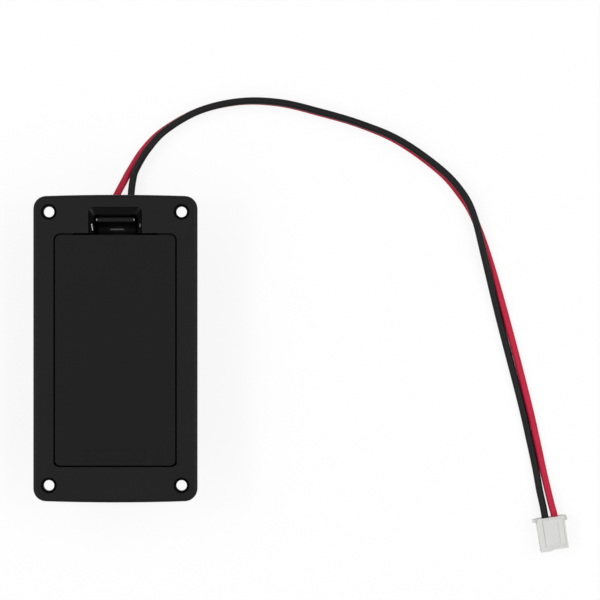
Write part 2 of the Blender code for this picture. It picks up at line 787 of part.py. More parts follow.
def make_solder_joint(name, start, finish):
    """Solder on a tag, with the conductor's tinned end standing out of it towards the lead."""
    base = TAG_Z + CONTACT_SHEET / 2 + CLEAR
    end = start - Vector((0, CLEAR, 0))
    middle = end - Vector((0, STRAND_LENGTH, 0))
    made = bmesh.new()
    bmesh.ops.create_uvsphere(made, u_segments=20, v_segments=12, radius=1)
    lower = [v for v in made.verts if v.co.z < -1e-6]
    bmesh.ops.delete(made, geom=lower, context="VERTS")
    rim = [e for e in made.edges if e.is_boundary]
    bmesh.ops.contextual_create(made, geom=rim)
    bmesh.ops.scale(made, vec=(SOLDER_RADIUS, SOLDER_RADIUS, SOLDER_HEIGHT), verts=made.verts)
    bmesh.ops.translate(made, vec=(middle.x, middle.y, base), verts=made.verts)
    solder = shaping_object("solder", made)
    join(solder, rod("strands", middle, end, STRAND_DIAMETER / 2, sides=12))
    return finished(solder, name, finish)


def smooth_route(route):
    """Points evenly along the smooth curve through a route."""
    points = [Vector(p) for p in route]
    points = [2 * points[0] - points[1], *points, 2 * points[-1] - points[-2]]
    steps = 24
    fine = []
    for a, b, c, d in zip(points, points[1:], points[2:], points[3:]):
        for step in range(steps):
            t = step / steps
            bend = (2 * a - 5 * b + 4 * c - d) * t**2 + (3 * b - a - 3 * c + d) * t**3
            fine.append(b + ((c - a) * t + bend) / 2)
    fine.append(points[-2])
    along = [0.0]
    for a, b in zip(fine, fine[1:]):
        along.append(along[-1] + (b - a).length)
    spaced, k = [], 0
    for i in range(LEAD_SEGMENTS + 1):
        wanted = along[-1] * i / LEAD_SEGMENTS
        while k < len(fine) - 2 and along[k + 1] < wanted:
            k += 1
        share = (wanted - along[k]) / (along[k + 1] - along[k])
        spaced.append(fine[k].lerp(fine[k + 1], share))
    return spaced


def route_inside(side):
    """The stretch of a lead inside the holder: level from the end of its tag, and out through its hole."""
    start_x, start_y = CONTACT_X - LEAD_START_INSET, TAG_NORTH + CLEAR
    steps = 4
    points = []
    for step in range(steps + 1):
        share = step / steps
        sway = share**2 * (3 - 2 * share)
        x = start_x + (LEAD_HOLE_X - start_x) * sway
        points.append((side * x, start_y + (CHAMBER_NORTH - start_y) * share, LEAD_HOLE_Z))
    points.append((side * LEAD_HOLE_X, TUB_NORTH, LEAD_HOLE_Z))
    points.append((side * LEAD_HOLE_X, TUB_NORTH + LEAD_DIAMETER, LEAD_HOLE_Z))
    return points


def plug_place(across, along, z):
    """A point of the plug: across it to the right, along it from its middle to its nose, and up."""
    turn = math.radians(PLUG_TURN)
    x = PLUG_CENTRE[0] + across * math.cos(turn) + along * math.sin(turn)
    y = FLANGE_END + PLUG_CENTRE[1] + across * math.sin(turn) - along * math.cos(turn)
    return Vector((x, y, z))


def make_lead(name, side, route, finish):
    """An insulated lead: a round tube from its solder joint, along its route and into the plug."""
    across = -side * PLUG_PITCH / 2
    back = -PLUG_LENGTH / 2
    entry = [plug_place(across, back + into, PLUG_MIDDLE) for into in (-LEAD_BEHIND_PLUG, LEAD_IN_PLUG)]
    curve = bpy.data.curves.new(name, "CURVE")
    curve.dimensions = "3D"
    curve.bevel_depth = LEAD_DIAMETER / 2 * MM
    curve.bevel_resolution = 2
    curve.use_fill_caps = True
    line = curve.splines.new("POLY")
    outside = [(x, FLANGE_END + y, z) for x, y, z in route]
    places = smooth_route([*route_inside(side), *outside, *entry])
    line.points.add(len(places) - 1)
    for point, place in zip(line.points, places):
        point.co = (*(place * MM), 1)
    line.use_smooth = True
    curve.materials.append(finish)
    lead = bpy.data.objects.new(name, curve)
    PARTS.objects.link(lead)
    return lead


def plug_block(name, across, along, height, corner=0.0):
    """A block in the plug's own directions."""
    made = block(name, across, (-along[1], -along[0]), height, corner=corner, corner_steps=2)
    made.rotation_euler.z = math.radians(PLUG_TURN)
    made.location = plug_place(0, 0, 0) * MM
    return made


def plug_lip(name, inner, outer):
    """The lip on one side of the plug, at the end where the leads go in."""
    back = -PLUG_LENGTH / 2
    along = (back + APART / 2, back + LIP_LENGTH)
    return plug_block(name, sorted((inner, outer)), along, (LIP_FOOT, LIP_FOOT + LIP_HEIGHT), LIP_CORNER)


def plug_rail(across):
    """A raised rail over one cavity of the plug."""
    along = (-PLUG_LENGTH / 2 + RAIL_START, PLUG_LENGTH / 2 - NOSE_LENGTH - RAIL_END_GAP)
    height = (PLUG_BODY_HEIGHT - OVERLAP, PLUG_BODY_HEIGHT + RAIL_HEIGHT)
    return plug_block("plug_rail", around(across, RAIL_WIDTH), along, height)


def plug_cavity(across):
    """What is cut through the plug for one lead, its terminal, the header's pin and the locking lance."""
    back, front = -PLUG_LENGTH / 2, PLUG_LENGTH / 2
    start = plug_place(across, back - PAST, PLUG_MIDDLE)
    end = plug_place(across, back + PLUG_BORE_LENGTH, PLUG_MIDDLE)
    socket = PLUG_SOCKET + CLEAR
    socket_along = (back + PLUG_BORE_LENGTH - OVERLAP, front - PLUG_FRONT_WALL)
    mouth_along = (front - PLUG_FRONT_WALL - OVERLAP, front + PAST)
    window_along = (-WINDOW_BACK, WINDOW_LENGTH - WINDOW_BACK)
    return [
        rod("wire_bore", start, end, PLUG_BORE / 2),
        plug_block("terminal_bore", around(across, socket), socket_along, around(PLUG_MIDDLE, socket)),
        plug_block("pin_mouth", around(across, PLUG_MOUTH), mouth_along, around(PLUG_MIDDLE, PLUG_MOUTH)),
        plug_block("lance_window", around(across, WINDOW_WIDTH), window_along, (-PAST, PLUG_MIDDLE)),
    ]


def make_plug(finish):
    """The plug housing: a rounded body with a stepped nose, side lips, rails and two through cavities."""
    half, front = PLUG_WIDTH / 2, PLUG_LENGTH / 2
    shoulder = front - NOSE_LENGTH
    body = plug_block("plug_body", (-half, half), (-front, shoulder), (0, PLUG_BODY_HEIGHT), PLUG_EDGE)
    nose = plug_block(
        "plug_nose",
        (-half + NOSE_INSET, half - NOSE_INSET),
        (shoulder - OVERLAP, front),
        (NOSE_INSET, PLUG_BODY_HEIGHT - NOSE_INSET),
        PLUG_EDGE,
    )
    left_lip = plug_lip("left_lip", -half + OVERLAP, -half - LEFT_LIP_WIDTH)
    right_lip = plug_lip("right_lip", half - OVERLAP, half + RIGHT_LIP_WIDTH)
    join(body, nose, left_lip, right_lip, *map(plug_rail, PLUG_CAVITIES))
    for across in PLUG_CAVITIES:
        cut(body, *plug_cavity(across))
    return finished(body, "plug_housing", finish)


def make_terminal(name, across, finish):
    """A crimped receptacle: a square sleeve for the header's pin and a round barrel on the lead."""
    back, front = -PLUG_LENGTH / 2, PLUG_LENGTH / 2
    size = PLUG_SOCKET - CLEAR
    bore = size - 2 * TERMINAL_WALL
    start = back + PLUG_BORE_LENGTH + APART
    end = front - PLUG_FRONT_WALL - CLEAR
    sleeve = plug_block("sleeve", around(across, size), (start, end), around(PLUG_MIDDLE, size))
    bore_along = (start + SLEEVE_BACK_WALL, front)
    cut(sleeve, plug_block("sleeve_bore", around(across, bore), bore_along, around(PLUG_MIDDLE, bore)))
    barrel_start = plug_place(across, back + LEAD_IN_PLUG + CLEAR, PLUG_MIDDLE)
    barrel_end = plug_place(across, start + SLEEVE_BACK_WALL / 2, PLUG_MIDDLE)
    join(sleeve, rod("barrel", barrel_start, barrel_end, BARREL_RADIUS, sides=16))
    return finished(sleeve, name, finish)


def make_hinge():
    """An empty on the hinge line, which the lid turns with."""
    hinge = bpy.data.objects.new("lid_hinge", None)
    hinge.location = PIVOT * MM
    hinge.empty_display_size = 0.01
    PARTS.objects.link(hinge)
    bpy.context.view_layer.update()
    return hinge


def make_pole(pole, colour, side, route, insulation):
    """What one pole of the battery is wired with: contact, solder joint, lead and crimp terminal."""
    nickel = finish_of(f"{pole} nickel plate", (0.72, 0.70, 0.66), 0.28, 1.0)
    solder = finish_of(f"{colour} side solder", (0.7, 0.71, 0.72), 0.3, 1.0)
    sleeve = finish_of(f"{colour} insulation", insulation, 0.4)
    tin = finish_of(f"{colour} side tin plate", (0.75, 0.74, 0.7), 0.3, 1.0)
    make_contact(f"{pole}_contact", side, nickel)
    make_solder_joint(f"{colour}_solder_joint", Vector(route_inside(side)[0]), solder)
    make_lead(f"{colour}_lead", side, route, sleeve)
    make_terminal(f"{colour}_crimp_terminal", -side * PLUG_PITCH / 2, tin)


def make_holder():
    """All the pieces of the holder."""
    make_housing(finish_of("black moulded plastic", (0.018, 0.018, 0.019), 0.42))
    make_lid(finish_of("black lid plastic", (0.016, 0.016, 0.017), 0.45), make_hinge())
    make_pole("positive", "red", -1, RED_ROUTE, (0.56, 0.03, 0.07))
    make_pole("negative", "black", 1, BLACK_ROUTE, (0.02, 0.02, 0.024))
    make_plug(finish_of("white connector nylon", (0.8, 0.8, 0.77), 0.35))


make_holder()
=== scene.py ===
# %% [markdown]
# # A flat-mount holder for one nine volt battery
#
# The real object is two black mouldings, a flanged housing and a flip lid with a spring latch. Two bent
# contacts sit inside, and two insulated leads run out to a small white plug. This lesson dresses the
# exact solids of that holder with the surfaces, wires and small marks that make it look real.
#
# The solids come as a fixed frame in metres. Nothing in it is moved. Each new piece is built where the
# frame says, rides on one of its bodies, and stands in for the solid that it replaces.

# %% Load the fixed frame
import math

import bmesh
import bpy
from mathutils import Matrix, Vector


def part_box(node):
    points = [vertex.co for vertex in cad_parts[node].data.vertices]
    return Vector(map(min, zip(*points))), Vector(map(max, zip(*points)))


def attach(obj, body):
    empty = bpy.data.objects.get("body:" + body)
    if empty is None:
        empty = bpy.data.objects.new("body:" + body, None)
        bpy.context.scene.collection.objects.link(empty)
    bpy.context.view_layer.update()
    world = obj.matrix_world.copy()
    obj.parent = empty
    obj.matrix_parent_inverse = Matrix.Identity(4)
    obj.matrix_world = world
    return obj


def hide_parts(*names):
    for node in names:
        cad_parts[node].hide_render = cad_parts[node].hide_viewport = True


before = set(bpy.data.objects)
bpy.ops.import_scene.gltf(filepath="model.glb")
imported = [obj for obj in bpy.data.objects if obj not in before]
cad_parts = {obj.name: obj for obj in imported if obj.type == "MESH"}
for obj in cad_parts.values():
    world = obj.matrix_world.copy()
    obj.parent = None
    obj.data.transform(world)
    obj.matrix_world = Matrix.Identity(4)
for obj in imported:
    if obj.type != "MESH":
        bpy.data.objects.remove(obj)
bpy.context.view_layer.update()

MM = 0.001

housing_low, housing_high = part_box("housing")
lid_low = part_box("lid")[0]
FACE = housing_high.z
print("flange face at", round(FACE / MM, 2), "mm, lid from y", round(lid_low.y / MM, 2))

# %% [markdown]
# ## The camera
#
# The photograph was taken from straight above, a long way up, so the sides of the holder hardly show.
# A camera could be matched by eye, but a height and a lens worked out from the flange's known width keep
# every later piece in register. The flange is 164.3 pixels wide in a frame of 600, and it is 50 mm wide.

# %% Place the camera
FRAME_PIXELS = 600
FLANGE_PIXELS = 164.3
CAMERA_HEIGHT = 0.7
CAMERA_X, CAMERA_Y = 56.27 * MM, 14.82 * MM


def add_object(name, data):
    """A new object in the scene, with its own data."""
    made = bpy.data.objects.new(name, data)
    bpy.context.scene.collection.objects.link(made)
    return made


flange_width = housing_high.x - housing_low.x
view_width = FRAME_PIXELS * flange_width / FLANGE_PIXELS
lens_data = bpy.data.cameras.new("photo_camera")
lens_data.angle = 2 * math.atan(view_width / 2 / CAMERA_HEIGHT)
lens_data.clip_start, lens_data.clip_end = 0.01, 20
camera = add_object("photo_camera", lens_data)
camera.location = (CAMERA_X, CAMERA_Y, FACE + CAMERA_HEIGHT)
bpy.context.scene.camera = camera
bpy.context.scene.view_settings.view_transform = "Standard"
print("lens", round(lens_data.lens, 1), "mm, view", round(view_width / MM, 1), "mm wide at the flange")

# %% [markdown]
# ## Node trees written as sums
#
# A finish is a sum of small effects, and a page of linked nodes hides the sum. Two small classes let
# Python write it. Wire holds one output and takes part in sums, and each sum adds its Math node. Graph
# adds any other node in one call: the settings come first, because they decide which sockets there are,
# and the sockets' values or links come after. Linking nodes by hand would do the same, but a reader could
# no longer see which effect a number belongs to.

# %% Wires and graphs
class Wire:
    """One output of a node, which can be added, scaled and compared."""

    def __init__(self, graph, socket):
        self.graph = graph
        self.socket = socket

    def sum_with(self, operation, first, second):
        return self.graph.node("ShaderNodeMath", {"operation": operation}, {0: first, 1: second})

    def __add__(self, other):
        return self.sum_with("ADD", self, other)

    def __radd__(self, other):
        return self.sum_with("ADD", other, self)

    def __sub__(self, other):
        return self.sum_with("SUBTRACT", self, other)

    def __rsub__(self, other):
        return self.sum_with("SUBTRACT", other, self)

    def __mul__(self, other):
        return self.sum_with("MULTIPLY", self, other)

    def __rmul__(self, other):
        return self.sum_with("MULTIPLY", other, self)

    def __truediv__(self, other):
        return self.sum_with("DIVIDE", self, other)

    def __rtruediv__(self, other):
        return self.sum_with("DIVIDE", other, self)

    def __gt__(self, other):
        return self.sum_with("GREATER_THAN", self, other)

    def __lt__(self, other):
        return self.sum_with("LESS_THAN", self, other)

    def __abs__(self):
        return self.graph.node("ShaderNodeMath", {"operation": "ABSOLUTE"}, {0: self})


class Graph:
    """A node tree that is wired in Python."""

    def __init__(self, tree):
        self.tree = tree

    def node(self, kind, settings=None, sockets=None, out=0):
        made = self.tree.nodes.new(kind)
        for name, value in (settings or {}).items():
            setattr(made, name, value)
        for name, value in (sockets or {}).items():
            self.feed(made.inputs[name], value)
        return Wire(self, made.outputs[out]) if made.outputs else None

    def feed(self, socket, value):
        if isinstance(value, Wire):
            self.tree.links.new(value.socket, socket)
        else:
            socket.default_value = value

    def parts_of(self, vector):
        """The x, y and z of a vector, as three wires."""
        made = self.node("ShaderNodeSeparateXYZ", sockets={0: vector}).socket.node
        return [Wire(self, made.outputs[axis]) for axis in "XYZ"]


print("a wire can be added, taken away, multiplied, divided and compared")

# %% [markdown]
# ## The table
#
# The holder lies on a white table. Brighter lamps would make any table white, but they would wash the
# object out too. So the table's own colour makes it white, and for the camera and for reflections a share
# of it glows at exactly one, so that it stays white at the edge of the picture. The rest of it is lit, and
# keeps the holder's soft shadow.

# %% Make the table
TABLE_HALF = 3.0
TABLE_WHITE = (0.95, 0.95, 0.95, 1)
TABLE_GLOW = 0.85


def seen_or_mirrored(graph):
    """One for rays from the camera, from a mirror or through glass, and zero for light on its way."""
    def path(name):
        return graph.node("ShaderNodeLightPath", out=name)

    either = path("Is Camera Ray") + path("Is Glossy Ray") + path("Is Transmission Ray")
    return graph.node("ShaderNodeClamp", sockets={"Value": either})


def table_finish():
    made = bpy.data.materials.new("white_table")
    made.use_nodes = True
    graph = Graph(made.node_tree)
    graph.tree.nodes.clear()
    lit = graph.node("ShaderNodeBsdfDiffuse", sockets={"Color": TABLE_WHITE})
    glow = graph.node("ShaderNodeEmission", sockets={"Strength": 1.0})
    share = seen_or_mirrored(graph) * TABLE_GLOW
    both = graph.node("ShaderNodeMixShader", sockets={0: share, 1: lit, 2: glow})
    graph.node("ShaderNodeOutputMaterial", sockets={"Surface": both})
    return made


table_edit = bmesh.new()
bmesh.ops.create_grid(table_edit, x_segments=1, y_segments=1, size=TABLE_HALF)
table_mesh = bpy.data.meshes.new("table")
table_edit.to_mesh(table_mesh)
table_edit.free()
table_mesh.materials.append(table_finish())
table = add_object("table", table_mesh)
print("table", 2 * TABLE_HALF, "m square")

# %% [markdown]
# ## The room's light
#
# A black moulding shows what it mirrors more than its own colour. Its flat face mirrors what is overhead,
# and its rounded edges mirror everything down to the table. A few area lamps would show in it as hard
# shapes, so the room is a soft bright band half way up, dim above it and dark near the horizon. The band
# is brightest at the left and the right, where two long soft lamps would hang, so that long edges draw a
# thin grey line and cross edges stay dark. White things take light from all of the band, and come out as
# white as they are.

# %% Light the room
BAND_LIGHT = 2.65
DIM_LIGHT = 0.105
PLAIN_WHITE = (1, 1, 1, 1)
BAND_START = (0.48, 0.7)
BAND_END = (0.8, 0.96)
SIDE_START = (0.1, 0.6)
FRONT_SHARE = 0.22

room = bpy.data.worlds.new("room")
room.use_nodes = True
bpy.context.scene.world = room
room_graph = Graph(room.node_tree)
room_graph.tree.nodes.clear()
across, _, height = room_graph.parts_of(room_graph.node("ShaderNodeTexCoord", out="Generated"))


def climb(graph, value, span):
    """Zero below the span, one above it, and a smooth climb between."""
    sockets = {"Value": value, "From Min": span[0], "From Max": span[1]}
    return graph.node("ShaderNodeMapRange", {"interpolation_type": "SMOOTHSTEP"}, sockets)


band = climb(room_graph, height, BAND_START) * (1 - climb(room_graph, height, BAND_END))
band = band * (FRONT_SHARE + (1 - FRONT_SHARE) * climb(room_graph, abs(across), SIDE_START))
shown = room_graph.node("ShaderNodeLightPath", out="Is Camera Ray")
strength = shown + (1 - shown) * (DIM_LIGHT + (BAND_LIGHT - DIM_LIGHT) * band)
sky = room_graph.node("ShaderNodeBackground", sockets={"Color": PLAIN_WHITE, "Strength": strength})
room_graph.node("ShaderNodeOutputWorld", sockets={"Surface": sky})
print("the band is", BAND_LIGHT, "bright, and the dim sky", DIM_LIGHT)

# %% [markdown]
# ## Sparks on the polished latch
#
# The ends of the latch's finger lip are polished, and each shows one small spark. A spark is a lamp seen in
# a small flat. The lamp's place could be found by trial, but the mirror's own rule gives it at once: it
# hangs where the flat mirrors it towards the camera. The lamps are small and add little other light.

# %% Hang a small lamp for each spark
def hang_lamp(name, spot, normal, distance, size, brightness):
    """Hangs a lamp where a flat at the spot, facing along the normal, mirrors it to the camera."""
    spot, normal = Vector(spot) * MM, Vector(normal).normalized()
    view = (camera.location - spot).normalized()
    towards = 2 * normal.dot(view) * normal - view
    lamp_data = bpy.data.lights.new(name, "AREA")
    lamp_data.size = size
    lamp_data.energy = brightness * math.pi * size**2
    lamp = add_object(name, lamp_data)
    lamp.location = spot + towards * distance
    lamp.rotation_euler = (-towards).to_track_quat("-Z", "Y").to_euler()
    print(name, "at", [round(c, 2) for c in lamp.location])


TILT = math.radians(15)
FLAT_X, FLAT_Y, FLAT_Z = 5.9, 39.3, 21.45
SIDE_LAMP = {"distance": 1.1, "size": 0.1, "brightness": 38}

for name, side in (("spark_left", -1), ("spark_right", 1)):
    normal = (side * math.sin(TILT), 0, math.cos(TILT))
    hang_lamp(name, (side * FLAT_X, FLAT_Y, FLAT_Z), normal, **SIDE_LAMP)

# %% [markdown]
# ## A tree that grows things
#
# The wires, the small signs and the strands all follow a path or repeat. Each could be modelled by hand,
# but Geometry Nodes suit such things, and a tree with named inputs for its sizes can be run again with
# other ones. After it has run, the result is copied into a plain mesh, because a finished piece should
# hold nothing that another program could not read.

# %% Helpers for modelling trees
SOCKET_KINDS = {float: "NodeSocketFloat", int: "NodeSocketInt", bpy.types.Material: "NodeSocketMaterial"}


def modelling_tree(name, sizes):
    """An empty tree with named inputs, its graph, and its input node."""
    tree = bpy.data.node_groups.new(name, "GeometryNodeTree")
    tree.interface.new_socket("Geometry", in_out="INPUT", socket_type="NodeSocketGeometry")
    for label, kind in sizes.items():
        tree.interface.new_socket(label, in_out="INPUT", socket_type=SOCKET_KINDS[kind])
    tree.interface.new_socket("Geometry", in_out="OUTPUT", socket_type="NodeSocketGeometry")
    graph = Graph(tree)
    start = tree.nodes.new("NodeGroupInput")
    return graph, {socket.name: Wire(graph, socket) for socket in start.outputs if socket.name}


def end_tree(graph, geometry, finish):
    """Ends a tree: copies made real, the finish set, and the result sent out."""
    real = graph.node("GeometryNodeRealizeInstances", sockets={"Geometry": geometry})
    painted = graph.node("GeometryNodeSetMaterial", sockets={"Geometry": real, "Material": finish})
    graph.node("NodeGroupOutput", sockets={"Geometry": painted})


def plain_mesh(source, name):
    """The evaluated object as a plain mesh object at the origin. The source is removed."""
    bpy.context.view_layer.update()
    graph = bpy.context.evaluated_depsgraph_get()
    mesh = bpy.data.meshes.new_from_object(
        source.evaluated_get(graph), preserve_all_data_layers=True, depsgraph=graph
    )
    bpy.data.objects.remove(source)
    mesh.name = name
    return add_object(name, mesh)


def grow(name, points, edges, graph, values):
    """Runs a tree on points and edges, and returns the result as a plain mesh object."""
    seed = bpy.data.meshes.new(name)
    seed.from_pydata([tuple(p) for p in points], edges, [])
    source = add_object(name, seed)
    step = source.modifiers.new("grow", "NODES")
    step.node_group = graph.tree
    for item in graph.tree.interface.items_tree:
        if item.in_out == "INPUT" and item.name in values:
            step[item.identifier] = values[item.name]
    return plain_mesh(source, name)


print("a tree takes", len(SOCKET_KINDS), "kinds of named input")

# %% [markdown]
# ## The leads
#
# Two stranded wires in soft insulation leave the tub, run round in one wide arc and enter the plug. The
# black one lies on the red one most of the way. A simulation could lay them, but not where the photograph
# has them. So the route of each is a short list of given points, the same ones that the solids use.

# %% Routes of the leads
FLANGE_END = 46.9
LEAD_DIAMETER = 2.1 * MM
LEAD_HOLE_X = 3.2
TUB_NORTH = 37.0
LEAD_LEVEL = 5.75
LEAD_START_X, LEAD_START_Y = 5.6, 31.8
WALL_INSIDE = 35.2
SWAY_STEPS = 4
PLUG_X, PLUG_Y, PLUG_TURN = 135.15, -58.2, 8.5
PLUG_LENGTH = 10.4
PLUG_PITCH = 2.9
PLUG_MIDDLE = 2.9
PLUG_ENTRY = (-PLUG_LENGTH / 2 - 1.0, -PLUG_LENGTH / 2 + 1.6)

RED_ROUTE = (
    (-2.9, -4.7, 4.8), (-2.3, -2.1, 3.8), (-1.4, 0.1, 2.8), (-0.2, 2.6, 1.8), (1.3, 5.5, 1.2),
    (3.0, 8.6, 1.1), (7.2, 15.0, 1.1), (13.5, 21.1, 1.1), (24.8, 27.3, 1.1), (37.5, 30.1, 1.1),
    (50.0, 29.6, 1.1), (62.5, 26.6, 1.1), (75.1, 22.9, 1.1), (87.5, 17.4, 1.1), (100.0, 8.3, 1.1),
    (106.5, 0.9, 1.1), (110.9, -6.4, 1.1), (115.5, -18.9, 1.1), (121.1, -38.4, 1.1), (127.6, -63.4, 1.1),
    (130.5, -76.0, 1.1), (132.5, -85.4, 1.2), (133.9, -91.6, 1.8), (135.0, -96.4, 2.7),
)
BLACK_ROUTE = (
    (3.2, -4.7, 5.1), (3.3, -2.1, 4.3), (3.45, 0.1, 3.6), (3.6, 2.5, 3.1), (4.0, 5.4, 2.9),
    (4.9, 8.6, 3.0), (8.6, 14.8, 3.4), (14.4, 21.0, 3.45), (24.9, 27.1, 3.45), (37.5, 30.0, 3.45),
    (50.0, 29.7, 3.45), (62.5, 26.8, 3.45), (75.0, 23.1, 3.45), (87.5, 17.9, 3.45), (100.1, 9.1, 3.45),
    (107.0, 1.6, 3.45), (110.7, -5.8, 3.45), (113.9, -18.9, 3.0), (118.6, -38.4, 1.4), (125.25, -63.4, 1.1),
    (128.1, -76.0, 1.1), (130.1, -85.4, 1.2), (131.3, -91.6, 1.8), (132.2, -96.0, 2.7),
)


def plug_place(across, along, z):
    """A point of the plug in metres: across it, along it from its middle to its nose, and up."""
    turn = math.radians(PLUG_TURN)
    x = PLUG_X + across * math.cos(turn) + along * math.sin(turn)
    y = PLUG_Y + across * math.sin(turn) - along * math.cos(turn)
    return Vector((x, y, z)) * MM


def route_inside(side):
    """The stretch inside the holder: level from the end of the contact's tag and out through the wall."""
    points = []
    for step in range(SWAY_STEPS + 1):
        share = step / SWAY_STEPS
        sway = share**2 * (3 - 2 * share)
        x = LEAD_START_X + (LEAD_HOLE_X - LEAD_START_X) * sway
        y = LEAD_START_Y + (WALL_INSIDE - LEAD_START_Y) * share
        points.append((side * x, y, LEAD_LEVEL))
    points.append((side * LEAD_HOLE_X, TUB_NORTH, LEAD_LEVEL))
    points.append((side * LEAD_HOLE_X, TUB_NORTH + LEAD_DIAMETER / MM, LEAD_LEVEL))
    return [Vector(p) * MM for p in points]


def whole_route(side, outside):
    """Every point of a lead, in metres, from its solder joint to its crimp."""
    open_air = [Vector((x, FLANGE_END + y, z)) * MM for x, y, z in outside]
    across = -side * PLUG_PITCH / 2
    entry = [plug_place(across, along, PLUG_MIDDLE) for along in PLUG_ENTRY]
    return [*route_inside(side), *open_air, *entry]


red_points, black_points = whole_route(-1, RED_ROUTE), whole_route(1, BLACK_ROUTE)
print("the red route has", len(red_points), "points, and the black one", len(black_points))

# %% [markdown]
# ## From a route to a tube
#
# A bevelled curve object would give a tube at once, but its finish could not follow the bends. A tree can
# do both. The points become a Catmull-Rom curve, which passes smoothly through every one of them, the curve
# is cut into equal steps, and a circle is swept along it. The tree also stores how far along the wire each
# corner of the skin lies and where round the wire it is, for the finish to read.

# %% The tree that sweeps a lead
def circle(graph, radius, sides):
    sockets = {"Resolution": sides, "Radius": radius}
    return graph.node("GeometryNodeCurvePrimitiveCircle", sockets=sockets)


def swept(graph, curve, outline):
    """The closed skin that an outline leaves as it moves along a curve."""
    sockets = {"Curve": curve, "Profile Curve": outline, "Fill Caps": True}
    return graph.node("GeometryNodeCurveToMesh", sockets=sockets)


def stored(graph, geometry, name, kind, value):
    """Keeps a value on each point under a name that a finish can read."""
    return graph.node(
        "GeometryNodeStoreNamedAttribute",
        {"data_type": kind, "domain": "POINT"},
        {"Geometry": geometry, "Name": name, "Value": value},
    )


def lead_tree():
    graph, given = modelling_tree(
        "swept_lead", {"Diameter": float, "Step": float, "Sides": int, "Insulation": bpy.types.Material}
    )
    curve = graph.node("GeometryNodeMeshToCurve", sockets={"Mesh": given["Geometry"]})
    curve = graph.node("GeometryNodeCurveSplineType", {"spline_type": "CATMULL_ROM"}, {"Curve": curve})
    curve = graph.node(
        "GeometryNodeResampleCurve", {"mode": "LENGTH"}, {"Curve": curve, "Length": given["Step"]}
    )
    along = graph.node("GeometryNodeSplineParameter", out="Length")
    curve = stored(graph, curve, "along", "FLOAT", along)
    place = graph.node("GeometryNodeInputPosition")
    outline = circle(graph, given["Diameter"] / 2, given["Sides"])
    outline = stored(graph, outline, "section", "FLOAT_VECTOR", place)
    skin = swept(graph, curve, outline)
    smooth = graph.node("GeometryNodeSetShadeSmooth", sockets={"Geometry": skin})
    end_tree(graph, smooth, given["Insulation"])
    return graph


sweep = lead_tree()
print("the lead's tree has", len(sweep.tree.nodes), "nodes")

# %% [markdown]
# ## Lead insulation
#
# Soft vinyl is drawn through a die, which leaves very faint lines along the wire, and it is a little
# glossy. A pattern on Object coordinates would cut straight across the bends, so the lines are drawn on
# the two values that the tree stored, and follow every turn. A slow cloud varies the colour a little.

# %% Finish of the leads
DIE_LINE = 0.12 * MM
DIE_LINE_STRETCH = 0.02
DIE_LINE_DEPTH = 0.02 * MM
COLOUR_CLOUD = 5 * MM
VINYL_ROUGHNESS, VINYL_SWING = 0.5, 0.2


def principled(name, constants):
    """A new material with its shader, and the sockets that stay the same all over the piece."""
    made = bpy.data.materials.new(name)
    made.use_nodes = True
    shader = made.node_tree.nodes["Principled BSDF"]
    for socket, value in constants.items():
        shader.inputs[socket].default_value = value
    print("finish:", name)
    return made, Graph(made.node_tree), shader


def noise(graph, place, size):
    """Smooth noise whose blobs are about size metres across."""
    return graph.node("ShaderNodeTexNoise", sockets={"Vector": place, "Scale": 1 / size, "Detail": 2.0})


def mixed_colour(graph, share, first, second):
    """A blend of two colours, each written as three numbers or given as a wire."""
    first, second = (given if isinstance(given, Wire) else (*given, 1) for given in (first, second))
    return graph.node("ShaderNodeMix", {"data_type": "RGBA"}, {0: share, 6: first, 7: second}, out=2)


def bumped(graph, shader, height, strength, distance):
    """Gives a shader fine relief."""
    sockets = {"Strength": strength, "Distance": distance, "Height": height}
    graph.feed(shader.inputs["Normal"], graph.node("ShaderNodeBump", sockets=sockets))


def insulation_finish(name, colour, deep_colour):
    made, graph, shader = principled(name, {"Specular IOR Level": 0.22})
    section = graph.node("ShaderNodeAttribute", {"attribute_name": "section"}, out="Vector")
    along = graph.node("ShaderNodeAttribute", {"attribute_name": "along"}, out="Fac")
    lengthwise = graph.node("ShaderNodeCombineXYZ", sockets={"Z": along * DIE_LINE_STRETCH})
    skin = graph.node("ShaderNodeVectorMath", {"operation": "ADD"}, {0: section, 1: lengthwise})
    lines = noise(graph, skin, DIE_LINE)
    cloud = noise(graph, graph.node("ShaderNodeTexCoord", out="Object"), COLOUR_CLOUD)
    graph.feed(shader.inputs["Base Color"], mixed_colour(graph, cloud, colour, deep_colour))
    graph.feed(shader.inputs["Roughness"], VINYL_ROUGHNESS + VINYL_SWING * (lines - 0.5))
    bumped(graph, shader, lines, 0.3, DIE_LINE_DEPTH)
    return made


RED_VINYL = insulation_finish("red_vinyl", (0.55, 0.011, 0.05), (0.46, 0.008, 0.036))
BLACK_VINYL = insulation_finish("black_vinyl", (0.007, 0.007, 0.0078), (0.005, 0.005, 0.006))

# %% [markdown]
# ## Two wires that touch
#
# Two exact solids must keep a small gap, but real vinyl is soft and the wires lie against each other. The
# gap would show as a white line between them. So each tube is a tenth of a millimetre thicker than its
# solid, and the black wire's points are moved the last bit of the way onto the red wire.

# %% Grow the leads
SOFT_DIAMETER = 2.2 * MM
LEAD_STEP = 0.8 * MM
LEAD_SIDES = 20
NESTLE_GAP = 0.3 * MM


def nestled(route, neighbour):
    """Moves each point that lies just beside the other lead until the two skins touch."""
    moved = []
    for point in route:
        near = min(neighbour, key=lambda middle: (middle - point).length)
        away = point - near
        gap = away.length - SOFT_DIAMETER
        moved.append(point - away.normalized() * gap if 0 < gap < NESTLE_GAP else point)
    return moved


